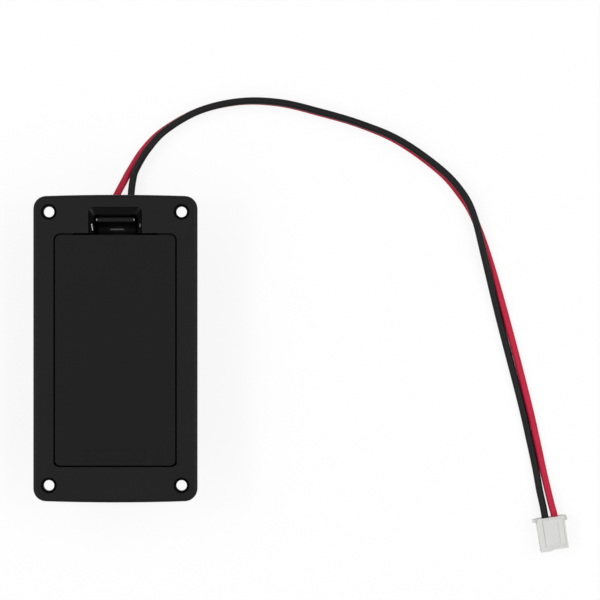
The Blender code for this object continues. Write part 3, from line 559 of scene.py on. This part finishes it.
def grow_lead(name, route, finish):
    edges = [(i, i + 1) for i in range(len(route) - 1)]
    sizes = {"Diameter": SOFT_DIAMETER, "Step": LEAD_STEP, "Sides": LEAD_SIDES, "Insulation": finish}
    lead = grow(name, route, edges, sweep, sizes)
    corners = [v.co for v in lead.data.vertices]
    rings = [corners[first:first + LEAD_SIDES] for first in range(0, len(corners), LEAD_SIDES)]
    middles = [sum(ring, Vector()) / LEAD_SIDES for ring in rings]
    length = sum((b - a).length for a, b in zip(middles, middles[1:]))
    print(name, "is", round(length / MM, 1), "mm long")
    return lead, middles, length


red_lead, red_path, red_length = grow_lead("red_wire", red_points, RED_VINYL)
black_points = nestled(black_points, red_path)
black_lead, black_path, black_length = grow_lead("black_wire", black_points, BLACK_VINYL)

# %% [markdown]
# ## Dressing a moulding
#
# The solids are exact but faceted, and no real moulding has a perfectly sharp edge: the steel mould is
# polished and the edge comes out with a radius of about a tenth of a millimetre. A bevel in the finish
# would only bend the shading, so a merged copy gets a real radius from a Bevel modifier, and each edge
# catches the light. A Weighted Normal modifier keeps the wide faces flat between the small radii.

# %% Copy and soften a solid
WELD = 0.002 * MM
SAME_PLANE = math.radians(0.3)
SHARP = math.radians(35)
MOULD_RADIUS = 0.1 * MM


def merged_copy(node, name, shape=None):
    """A copy of a solid with its triangles merged, its flat faces made whole, and a shape step done."""
    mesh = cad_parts[node].data.copy()
    mesh.name = name
    edit = bmesh.new()
    edit.from_mesh(mesh)
    bmesh.ops.remove_doubles(edit, verts=edit.verts, dist=WELD)
    bmesh.ops.dissolve_limit(
        edit, angle_limit=SAME_PLANE, verts=edit.verts, edges=edit.edges, delimit={"NORMAL"}
    )
    if shape:
        shape(edit)
    edit.to_mesh(mesh)
    edit.free()
    return add_object(name, mesh)


def combined(piece, tool, operation):
    """Takes the tool's shape away from the piece, or joins it on."""
    step = piece.modifiers.new("combine", "BOOLEAN")
    step.operation = operation
    step.solver = "EXACT"
    step.use_self = True
    step.object = tool
    done = plain_mesh(piece, piece.name)
    bpy.data.objects.remove(tool)
    return done


def soften(piece, radius, kept_flat=None):
    """Rounds the sharp edges of a piece and shades it smooth, apart from the faces kept flat."""
    piece.data.shade_smooth()
    for face in piece.data.polygons:
        if kept_flat and kept_flat(face.center / MM):
            face.use_smooth = False
    edge = piece.modifiers.new("mould radius", "BEVEL")
    edge.width = radius
    edge.segments = 2
    edge.limit_method = "ANGLE"
    edge.angle_limit = SHARP
    edge.use_clamp_overlap = True
    even = piece.modifiers.new("flat faces lead", "WEIGHTED_NORMAL")
    even.weight = 100
    even.keep_sharp = True
    return plain_mesh(piece, piece.name)


def paint(piece, finish):
    """Gives a piece its one finish."""
    piece.data.materials.clear()
    piece.data.materials.append(finish)
    return piece


print("corners within", WELD / MM, "mm are welded")

# %% [markdown]
# ## Black moulded plastic
#
# The mould is spark-eroded for the wide faces, which gives them a fine even grain, and polished where the
# latch slides and where a finger reaches in. One finish holds both: a mask that is one in the polished
# places takes the grain away there and lowers the roughness. The same mask paints those places half as
# dark, as painted shade, because they lie in the scoop, in the countersinks and in the latch's bend. Slow
# flow marks change the black a little.

# %% Finish of the black mouldings
HOLE_X, HOLE_Y = 20.2, 41.65
SINK_RADIUS = 2.45
SCOOP_HALF = 8.3
SCOOP_Y = (35.3, 43.3)
SCOOP_Z = (12, 22.4)
LIP_END_X, LIP_END_Y, LIP_END_Z = 5.3, 37, 19
JUST_BELOW = 0.03
MATT_SWING = 0.1
GRAIN = 0.14 * MM
GRAIN_DEPTH = 0.02 * MM
FLOW = 18 * MM
FLOW_LIGHTER = 1.25
POLISHED_ROUGHNESS = 0.1
# painted shade: the polished places all lie in recesses, and their colour is painted this much darker
RECESS_SHADE_DARKER = 0.5


def moulded_finish(name, colour, roughness, polished_and_shaded):
    made, graph, shader = principled(name, {"Specular IOR Level": 0.17})
    place = graph.node("ShaderNodeTexCoord", out="Object")
    polish_and_shade = polished_and_shaded(*(part / MM for part in graph.parts_of(place)))
    grain = noise(graph, place, GRAIN)
    lighter = tuple(FLOW_LIGHTER * part for part in colour)
    # painted shade: where the mask is one, the colour is painted half as dark
    darker = tuple(RECESS_SHADE_DARKER * part for part in colour)
    matt_colour = mixed_colour(graph, noise(graph, place, FLOW), colour, lighter)
    graph.feed(shader.inputs["Base Color"], mixed_colour(graph, polish_and_shade, matt_colour, darker))
    matt = roughness + MATT_SWING * (grain - 0.5)
    graph.feed(shader.inputs["Roughness"], matt * (1 - polish_and_shade) + POLISHED_ROUGHNESS * polish_and_shade)
    bumped(graph, shader, grain * (1 - polish_and_shade), 0.3, GRAIN_DEPTH)
    return made


def within(value, span):
    return (value > span[0]) * (value < span[1])


def polished_and_shaded_places(x, y, z):
    """The finger scoop, and the countersinks, which are formed by polished pins in the mould. Both also get
    painted shade.
    """
    scoop = (abs(x) < SCOOP_HALF) * within(y, SCOOP_Y) * within(z, SCOOP_Z)
    across, along = abs(x) - HOLE_X, abs(y) - HOLE_Y
    sinks = (across * across + along * along < SINK_RADIUS**2) * (z < FACE / MM - JUST_BELOW)
    return scoop + sinks


def polished_and_shaded_lip(x, y, z):
    """The two ends of the finger lip, where fingers rub it. They also get painted shade."""
    return (abs(x) > LIP_END_X) * (y > LIP_END_Y) * (z > LIP_END_Z)


HOUSING_BLACK = moulded_finish("housing_black", (0.0064, 0.0062, 0.0065), 0.5, polished_and_shaded_places)
LID_BLACK = moulded_finish("lid_black", (0.0042, 0.0042, 0.0043), 0.52, polished_and_shaded_lip)

# %% [markdown]
# ## The housing
#
# The rim of the finger scoop is rounded more than the other edges, so that it is kind to a finger. The rim
# is picked out by where it lies, and bevelled before the small radius goes on everything else. One radius
# for all would be simpler, but the rim would then look as hard as the rest. The countersinks of such a
# thin flange are shallow cones, so that the wall keeps its strength round the hole. A shallow cone also
# mirrors the dark horizon, which draws the dark ring round each hole.

# %% Dress the housing
SINK_LIFT = 0.8 * MM
SINK_FOOT_WITHIN = 2.25
SINK_DEPTH = 1.7
RIM_START = 35.1
RIM_SIDE_START = 35.6
RIM_RADIUS = 0.3 * MM
RIM_ANGLE = 1.0
SAME_LEVEL = 0.01


def soft_scoop(edit):
    """A wider radius round the rim of the finger scoop."""
    def on_rim(edge):
        ends = [v.co / MM for v in edge.verts]
        level = all(abs(p.z - FACE / MM) < SAME_LEVEL for p in ends)
        round_scoop = all(abs(p.x) < SCOOP_HALF and p.y > RIM_START for p in ends)
        reaches_side = max(p.y for p in ends) > RIM_SIDE_START
        return level and round_scoop and reaches_side and edge.calc_face_angle(0) > RIM_ANGLE

    rim = [edge for edge in edit.edges if on_rim(edge)]
    print("scoop rim has", len(rim), "edges")
    bmesh.ops.bevel(edit, geom=rim, offset=RIM_RADIUS, segments=3, profile=0.5, affect="EDGES")


def shape_housing(edit):
    """Lifts the foot of each countersink's cone, and softens the scoop."""
    for corner in edit.verts:
        place = corner.co / MM
        reach = math.hypot(abs(place.x) - HOLE_X, abs(place.y) - HOLE_Y)
        if reach < SINK_FOOT_WITHIN and place.z > FACE / MM - SINK_DEPTH:
            corner.co.z += SINK_LIFT
    soft_scoop(edit)


housing = soften(merged_copy("housing", "holder_housing", shape_housing), MOULD_RADIUS)
paint(housing, HOUSING_BLACK)
print(housing.name, len(housing.data.polygons), "faces")

# %% [markdown]
# ## Strokes for small signs
#
# Moulders cut signs into the mould as strokes of one width. An image could draw them, but the part should
# carry none. A short tree sweeps a square along each line of a sign instead. The result is either cut
# out of a face or laid on it as raised lines.

# %% The tree that sweeps strokes
def stroke_tree():
    graph, given = modelling_tree("swept_strokes", {"Width": float, "Finish": bpy.types.Material})
    curve = graph.node("GeometryNodeMeshToCurve", sockets={"Mesh": given["Geometry"]})
    size = {"Width": given["Width"], "Height": given["Width"]}
    square = graph.node("GeometryNodeCurvePrimitiveQuadrilateral", sockets=size)
    end_tree(graph, swept(graph, curve, square), given["Finish"])
    return graph


stroke = stroke_tree()
print("the tree for strokes has", len(stroke.tree.nodes), "nodes")


def draw_sign(name, lines, level, width, finish):
    """Strokes along lines of (x, y) points in millimetres, at a height in millimetres."""
    points, edges = [], []
    for line in lines:
        first = len(points)
        points += [Vector((x, y, level)) * MM for x, y in line]
        edges += [(first + i, first + i + 1) for i in range(len(line) - 1)]
    return grow(name, points, edges, stroke, {"Width": width * MM, "Finish": finish})


def plus_at(x, y, half):
    return [((x - half, y), (x + half, y)), ((x, y - half), (x, y + half))]


def minus_at(x, y, half):
    return [((x - half, y), (x + half, y))]


def battery_outline(x, y, half_x, half_y):
    """A plain battery seen from the side, as one closed line."""
    left, right, low, high = x - half_x, x + half_x, y - half_y, y + half_y
    return [((left, low), (right, low), (right, high), (left, high), (left, low))]


# %% [markdown]
# ## The lid
#
# The signs on such a lid are only a tenth of a millimetre deep and hardly show. An arrow by the latch says
# where to press, and a plain battery at the hinge says what goes in, with its poles. They could be
# raised, but sunk ones don't catch on a finger, so they are cut away here. The strip of the latch gets a
# little wider beyond the panel, which is done by moving its corners. The ends of its finger lip are kept
# as small flats, because a rounded end would smear a spark over its whole width.

# %% Dress the lid
SIGN_WIDTH = 0.3
SIGN_DEPTH = 0.1
ARROW = [((0, 30.9), (0, 32.9)), ((-1, 31.9), (0, 32.9), (1, 31.9))]
PRESS_BARS = [((side * x, 31.1), (side * x, 32.6)) for side in (-1, 1) for x in (2.3, 3.5, 4.7)]
BATTERY = [*battery_outline(0, -32.4, 9, 1.6), *plus_at(-6, -32.4, 0.8), *minus_at(6, -32.4, 0.8)]
STRIP_START = 35.3
STRIP_WIDER = 1.075
FLAT_BEYOND_X, FLAT_ABOVE_Z = 5.5, 21.4
FLAT_Y_SPAN = (38, 40.5)


def wide_strip(edit):
    """Widens the latch's strip beyond the panel, as a finger needs all the room that the scoop has."""
    for corner in edit.verts:
        if corner.co.y > STRIP_START * MM:
            corner.co.x *= STRIP_WIDER


def lip_end(place):
    """The small flats on the two ends of the finger lip, which the sparks are seen in."""
    beyond = abs(place.x) > FLAT_BEYOND_X and place.z > FLAT_ABOVE_Z
    return beyond and FLAT_Y_SPAN[0] < place.y < FLAT_Y_SPAN[1]


lid = paint(merged_copy("lid", "flip_lid", wide_strip), LID_BLACK)
sign_level = FACE / MM - SIGN_DEPTH + SIGN_WIDTH / 2
signs = draw_sign("signs", [*ARROW, *PRESS_BARS, *BATTERY], sign_level, SIGN_WIDTH, LID_BLACK)
lid = soften(combined(lid, signs, "DIFFERENCE"), MOULD_RADIUS, kept_flat=lip_end)
paint(lid, LID_BLACK)
print(lid.name, len(lid.data.polygons), "faces")

# %% [markdown]
# ## Small features of the latch
#
# The bend of the latch has a short gate bar at its bottom, where the plastic ran into the mould. Each
# side of the scoop has a little stop rib. All are polished, and each has one flat that mirrors a lamp.
# A scaled cube would lose those tilted flats, so each one is a stack of outlines with named heights.

# %% Make the gate bar and the stop ribs
BAR_HALF = 2.05
BAR_Y = 36.54
BAR_HALF_WIDTH = 0.2
BAR_TOP = 14.8
BAR_FOOT = 14.2
BAR_TILT = math.radians(4.7)
RIB_X = 7.1
RIB_DROP = 0.6
ABOVE_LAMP = {"distance": 1.4, "size": 0.14, "brightness": 6}


def stack(name, outlines):
    """A closed mesh through outlines of equal length, given from end to end in millimetres."""
    count = len(outlines[0])
    last = count * (len(outlines) - 1)
    faces = [tuple(range(count)), tuple(range(last, last + count))]
    for first in range(0, last, count):
        for i in range(count):
            j = (i + 1) % count
            faces.append((first + i, first + j, first + count + j, first + count + i))
    mesh = bpy.data.meshes.new(name)
    mesh.from_pydata([tuple(Vector(p) * MM) for outline in outlines for p in outline], [], faces)
    edit = bmesh.new()
    edit.from_mesh(mesh)
    bmesh.ops.recalc_face_normals(edit, faces=edit.faces)
    edit.to_mesh(mesh)
    edit.free()
    return add_object(name, mesh)


def all_polished_and_shaded(x, y, z):
    """One everywhere, because nothing of the part lies below the table, so the whole piece is polished and
    gets painted shade.
    """
    return z > -1


def bar_outline(x):
    """An end of the gate bar, whose top is tilted to the north."""
    rise = BAR_HALF_WIDTH * math.tan(BAR_TILT)
    south, north = BAR_Y - BAR_HALF_WIDTH, BAR_Y + BAR_HALF_WIDTH
    tops = [(x, north, BAR_TOP - rise), (x, south, BAR_TOP + rise)]
    return [(x, south, BAR_FOOT), (x, north, BAR_FOOT), *tops]


def rib_outline(side, middle, y, half_width, level):
    """A stop rib's outline: a flat tilted to the middle of the holder, above the scoop's slope."""
    outer, inner = middle + half_width, middle - half_width
    tops = [(x, level + (x - RIB_X) * math.tan(TILT)) for x in (inner, outer)]
    outline = [(outer, level - RIB_DROP), (inner, level - RIB_DROP), *tops]
    return [(side * x, y, z) for x, z in outline]


def stop_rib(name, side, ends, half_width, level):
    """A rib between two ends, each given by its middle and its y."""
    outlines = [rib_outline(side, middle, y, half_width, level) for middle, y in ends]
    return paint(stack(name, outlines), GLOSS_BLACK)


# painted shade: the mask is one everywhere, so these pieces are painted half as dark as this colour
GLOSS_BLACK = moulded_finish("gloss_black", (0.0085, 0.0085, 0.0092), 0.1, all_polished_and_shaded)
gate_bar = paint(stack("gate_bar", [bar_outline(-BAR_HALF), bar_outline(BAR_HALF)]), GLOSS_BLACK)
left_rib = stop_rib("left_stop_rib", -1, [(7.24, 38.07), (6.94, 36.06)], 0.15, 21.5)
right_rib = stop_rib("right_stop_rib", 1, [(7.6, 38.1), (7.5, 37.0)], 0.045, 21.75)
hang_lamp("spark_above", (0, BAR_Y, BAR_TOP), (0, math.sin(BAR_TILT), math.cos(BAR_TILT)), **ABOVE_LAMP)

# %% [markdown]
# ## Marks inside the bay
#
# The bay shows how it was made and how to use it. Four fine rings are left by the pins that push the
# moulding out of its mould, and four more under the lid. Raised lines show a battery with its poles next
# to their contacts. Each ring could be a torus put in by hand, but they repeat, so a tree puts one on
# each of its points.

# %% Make the marks in the bay and under the lid
BAY_FLOOR = 1.8
LID_UNDER = 20.7
PIN_RADIUS = 1.8 * MM
PIN_LINE = 0.07 * MM
PIN_X = (-10, 10)
PIN_SIDES, LINE_SIDES = 40, 8
BAY_LINE = 0.35


def pin_mark_tree():
    sizes = {"Radius": float, "Line": float, "Finish": bpy.types.Material}
    graph, given = modelling_tree("pin_marks", sizes)
    ring, line = circle(graph, given["Radius"], PIN_SIDES), circle(graph, given["Line"], LINE_SIDES)
    mark = graph.node("GeometryNodeCurveToMesh", sockets={"Curve": ring, "Profile Curve": line})
    mark = graph.node("GeometryNodeSetShadeSmooth", sockets={"Geometry": mark})
    places = {"Points": given["Geometry"], "Instance": mark}
    marks = graph.node("GeometryNodeInstanceOnPoints", sockets=places)
    end_tree(graph, marks, given["Finish"])
    return graph


pin_marks = pin_mark_tree()


def mark_pins(name, rows, level, finish):
    """The rings of one moulding, in two columns and the given rows."""
    values = {"Radius": PIN_RADIUS, "Line": PIN_LINE, "Finish": finish}
    places = [Vector((x, y, level)) * MM for x in PIN_X for y in rows]
    return grow(name, places, [], pin_marks, values)


bay_pins = mark_pins("bay_pin_marks", (-21, 13), BAY_FLOOR, HOUSING_BLACK)
lid_pins = mark_pins("lid_pin_marks", (-17, 9), LID_UNDER, LID_BLACK)
BAY_SIGN = [*battery_outline(0, -6, 7, 13), *plus_at(-4, 3, 1.2), *minus_at(4, 3, 1.2)]
bay_sign = draw_sign("bay_sign", BAY_SIGN, BAY_FLOOR, BAY_LINE, HOUSING_BLACK)
print("marks in the bay:", len(bay_pins.data.polygons) + len(bay_sign.data.polygons), "faces")

# %% [markdown]
# ## Metal and nylon
#
# The contacts are punched from nickel-plated spring strip, with rolling lines along it. The solder is
# smooth and bright. One function serves all the metals, because only the colour, the roughness and the
# lines differ. The plug is natural nylon, a warm white that lets a little light in. A lighter colour would
# only make it look painted, so Subsurface gives that.

# %% Finish of metal and nylon
ROLLING_LINE = 0.08 * MM
ROLLING_DEPTH = 0.01 * MM
TARNISH = 1.2 * MM
TARNISH_DARKER = 0.82
NYLON_GRAIN = 0.2 * MM
NYLON_CLOUD = 3 * MM
NYLON_WHITE, NYLON_GREY = (0.7, 0.695, 0.68), (0.65, 0.655, 0.64)


def metal_finish(name, colour, roughness, line_stretch=(1, 1, 1)):
    made, graph, shader = principled(name, {"Metallic": 1.0})
    place = graph.node("ShaderNodeTexCoord", out="Object")
    stretched = graph.node("ShaderNodeVectorMath", {"operation": "MULTIPLY"}, {0: place, 1: line_stretch})
    lines = noise(graph, stretched, ROLLING_LINE)
    cloud = noise(graph, place, TARNISH)
    darker = tuple(TARNISH_DARKER * part for part in colour)
    graph.feed(shader.inputs["Base Color"], mixed_colour(graph, cloud, colour, darker))
    graph.feed(shader.inputs["Roughness"], roughness + 0.12 * cloud + 0.08 * lines)
    bumped(graph, shader, lines, 0.15, ROLLING_DEPTH)
    return made


def nylon_finish(name):
    constants = {
        "Specular IOR Level": 0.4,
        "Subsurface Weight": 0.2,
        "Subsurface Radius": (1.0, 0.95, 0.85),
        "Subsurface Scale": 0.6 * MM,
    }
    made, graph, shader = principled(name, constants)
    place = graph.node("ShaderNodeTexCoord", out="Object")
    grain = noise(graph, place, NYLON_GRAIN)
    cloud = noise(graph, place, NYLON_CLOUD)
    graph.feed(shader.inputs["Base Color"], mixed_colour(graph, cloud, NYLON_WHITE, NYLON_GREY))
    graph.feed(shader.inputs["Roughness"], 0.35 + 0.1 * grain)
    bumped(graph, shader, grain, 0.2, GRAIN_DEPTH)
    return made


ROLLED = (1, 0.04, 0.04)
NICKEL = metal_finish("nickel_plate", (0.72, 0.7, 0.66), 0.16, ROLLED)
SOLDER = metal_finish("tin_solder", (0.7, 0.71, 0.72), 0.16)
TINNED = metal_finish("tinned_copper", (0.76, 0.73, 0.68), 0.2)
TIN = metal_finish("tin_plate", (0.75, 0.74, 0.7), 0.22)
NYLON = nylon_finish("natural_nylon")

# %% [markdown]
# ## Contacts and crimps
#
# The contacts press on the battery's poles, and the crimps grip the ends of the leads inside the plug.
# Their solids already have the right shape, so nothing is modelled again: each gets a merged copy, a
# small radius and its finish. Sheet metal is sheared, so its edges stay sharper than a moulding's.

# %% Dress the small pieces
dressed = {}
for node, name, radius, finish in (
    ("positive_contact", "positive_spring", 0.05 * MM, NICKEL),
    ("negative_contact", "negative_spring", 0.05 * MM, NICKEL),
    ("red_crimp_terminal", "red_terminal", 0.03 * MM, TIN),
    ("black_crimp_terminal", "black_terminal", 0.03 * MM, TIN),
):
    dressed[node] = paint(soften(merged_copy(node, name), radius), finish)
    print(name, len(dressed[node].data.polygons), "faces")

# %% [markdown]
# ## The plug
#
# The solid of the plug is a plain housing with two rails. The one in the photograph has a wider panel with
# a groove on it, a nose that steps down on one side only, and a shorter lip on the left. Moving corners
# can't make a groove, so bars are joined to the solid and others are cut away. Each bar is an outline
# across the plug, drawn out along it. A bar passes well into what it is joined to, because faces that
# only just touch confuse the cutting.

# %% Dress the plug
PLUG_RADIUS = 0.12 * MM
BODY_TOP = 5.45
PANEL = (-4.63, 3.73)
GROOVE_START = -3.69
LIP_START, LIP_END = -4.14, -3
NOSE_START, NOSE_END, STEP_END = 3.5, 5.2, 4.91
STEP_ACROSS = -0.83
STEP_CUT = STEP_ACROSS - 0.02
NOSE_LOW = [(-4.3, 0.3), (-4.2, 0.1), (-4, 0), (-2.4, 0), (-2.4, 4), (STEP_ACROSS, 4)]
NOSE_TOP = [(STEP_ACROSS, BODY_TOP), (-4, BODY_TOP), (-4.2, 5.35), (-4.3, 5.15)]
NOSE_RIGHT = [(2.4, 0), (4, 0), (4.2, 0.1), (4.3, 0.3), (4.3, 4.7), (4.15, 4.95), (2.4, 4.95)]


def oblong(left, right, low, high):
    return [(left, low), (right, low), (right, high), (left, high)]


JOINED_BARS = (
    (PANEL, oblong(-2.58, 3.57, 5.2, 5.82)),
    ((NOSE_START, NOSE_END), NOSE_LOW + NOSE_TOP),
    ((NOSE_START, STEP_END), NOSE_RIGHT),
)
CUT_BARS = (
    ((GROOVE_START, 5), oblong(1.57, 2.07, 5.65, 6.5)),
    ((STEP_END, 6), oblong(STEP_CUT, 6, -1, 7)),
    ((LIP_START, LIP_END), oblong(-7, -4.3, -1, 7)),
    ((-6, LIP_END), oblong(-7, -5.43, -1, 7)),
)


def plug_bar(along, outline):
    """A bar with one outline, drawn out along the plug."""
    rings = [[plug_place(across, end, z) / MM for across, z in outline] for end in along]
    return paint(stack("plug_bar", rings), NYLON)


plug = merged_copy("plug_housing", "plug_shell")
for along, outline in JOINED_BARS:
    plug = combined(plug, plug_bar(along, outline), "UNION")
for along, outline in CUT_BARS:
    plug = combined(plug, plug_bar(along, outline), "DIFFERENCE")
dressed["plug_housing"] = paint(soften(plug, PLUG_RADIUS), NYLON)
print("plug has", len(dressed["plug_housing"].data.polygons), "faces")

# %% [markdown]
# ## Bared strands
#
# The bared end of each lead is seven tinned strands in a slight twist, laid on the contact's tag. Seven
# spirals could be drawn one by one, but the strands follow a rule, so a tree makes them: it copies one
# line seven times and winds six of the copies about the first.

# %% Make the strands
STRAND_RADIUS = 0.13 * MM
BUNDLE_RADIUS = 0.27 * MM
TWIST_TURNS = 0.6
STRANDS = 7
STRAND_STEPS = 14
STRAND_SIDES = 8
JOINT_X, JOINT_Y = 5.6, 30.0
STRAND_END = 31.85


def strand_tree():
    sizes = {"Strand": float, "Bundle": float, "Turns": float, "Finish": bpy.types.Material}
    graph, given = modelling_tree("twisted_strands", sizes)
    line = graph.node("GeometryNodeMeshToCurve", sockets={"Mesh": given["Geometry"]})
    line = graph.node("GeometryNodeResampleCurve", {"mode": "COUNT"}, {"Curve": line, "Count": STRAND_STEPS})
    copies = graph.node(
        "GeometryNodeDuplicateElements", {"domain": "SPLINE"}, {"Geometry": line, "Amount": STRANDS}
    )
    number = Wire(graph, copies.socket.node.outputs["Duplicate Index"])
    share = graph.node("GeometryNodeSplineParameter", out="Factor")
    angle = 2 * math.pi * (number / (STRANDS - 1) + share * given["Turns"])
    reach = (number > 0.5) * given["Bundle"]
    across = graph.node("ShaderNodeMath", {"operation": "COSINE"}, {0: angle}) * reach
    upward = graph.node("ShaderNodeMath", {"operation": "SINE"}, {0: angle}) * reach
    offset = graph.node("ShaderNodeCombineXYZ", sockets={"X": across, "Z": upward})
    wound = graph.node("GeometryNodeSetPosition", sockets={"Geometry": copies, "Offset": offset})
    strands = swept(graph, wound, circle(graph, given["Strand"], STRAND_SIDES))
    smooth = graph.node("GeometryNodeSetShadeSmooth", sockets={"Geometry": strands})
    end_tree(graph, smooth, given["Finish"])
    return graph


twist = strand_tree()


def make_strands(name, side):
    ends = [Vector((side * JOINT_X, y, LEAD_LEVEL)) * MM for y in (JOINT_Y, STRAND_END)]
    values = {"Strand": STRAND_RADIUS, "Bundle": BUNDLE_RADIUS, "Turns": TWIST_TURNS, "Finish": TINNED}
    return grow(name, ends, [(0, 1)], twist, values)


strands = {side: make_strands(name, side) for side, name in ((-1, "red_strands"), (1, "black_strands"))}
print("strands have", len(strands[1].data.polygons), "faces a side")

# %% [markdown]
# ## Solder
#
# Molten solder draws itself up to the wire and leaves a hollow skirt round it. A plain cone would have
# straight sides, so the joint is a stack of rings that shrink as the skirt does, a little longer along the
# wire than across it, and Subdivision Surface makes it smooth.

# %% Make the solder
TAG_TOP = 5.21
SOLDER_RINGS = ((1.35, 0.0), (1.1, 0.12), (0.85, 0.35), (0.66, 0.7), (0.45, 1.0), (0.2, 1.16))
SOLDER_SIDES = 12
SOLDER_LENGTHEN = 1.15


def solder_ring(side, radius, rise):
    ring = []
    for i in range(SOLDER_SIDES):
        angle = 2 * math.pi * i / SOLDER_SIDES
        x = side * JOINT_X + radius * math.cos(angle)
        y = JOINT_Y + SOLDER_LENGTHEN * radius * math.sin(angle)
        ring.append((x, y, TAG_TOP + rise))
    return ring


def make_solder(name, side):
    made = stack(name, [solder_ring(side, radius, rise) for radius, rise in SOLDER_RINGS])
    made.data.shade_smooth()
    round_off = made.modifiers.new("molten", "SUBSURF")
    round_off.levels = round_off.render_levels = 2
    return paint(plain_mesh(made, name), SOLDER)


solders = {side: make_solder(name, side) for side, name in ((-1, "red_solder"), (1, "black_solder"))}
print("each joint has", len(solders[1].data.polygons), "faces")

# %% [markdown]
# ## What each piece rides on and stands for
#
# The housing is the fixed body and the lid turns on it. Pieces could be parented by hand, but then nothing
# would hide the solids that they stand for. So every new piece is tied to one of the two bodies, and the
# solid that it takes the place of is hidden.

# %% Tie the pieces to their bodies
def place_piece(piece, body, slot, *nodes):
    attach(piece, body)
    if nodes:
        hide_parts(*nodes)
    print(piece.name, "rides on the", body)


SLOTS = {
    "positive_contact": "contact_spring",
    "negative_contact": "contact_spring",
    "plug_housing": "plug_nylon",
    "red_crimp_terminal": "crimp_terminal",
    "black_crimp_terminal": "crimp_terminal",
}
place_piece(housing, "housing", "housing_plastic", "housing")
place_piece(lid, "lid", "lid_plastic", "lid")
for piece in (left_rib, right_rib, bay_pins, bay_sign):
    place_piece(piece, "housing", "housing_plastic")
for piece in (gate_bar, lid_pins):
    place_piece(piece, "lid", "lid_plastic")
for node, piece in dressed.items():
    place_piece(piece, "housing", SLOTS[node], node)
for side, node in ((-1, "red_solder_joint"), (1, "black_solder_joint")):
    place_piece(solders[side], "housing", "solder", node)
    place_piece(strands[side], "housing", "solder", node)

# %% [markdown]
# ## Where the leads ride
#
# A lead is not a rigid tube, but here each one stays as its swept skin. It rides on the housing, stands in
# for its solid, and its length is printed.

for side, wire, node, path, length in (
    (-1, red_lead, "red_lead", red_path, red_length),
    (1, black_lead, "black_lead", black_path, black_length),
):
    place_piece(wire, "housing", node.split("_")[0] + "_insulation", node)
    side * LEAD_HOLE_X * MM
    print(wire.name, "is a cord of", round(length, 4), "m")
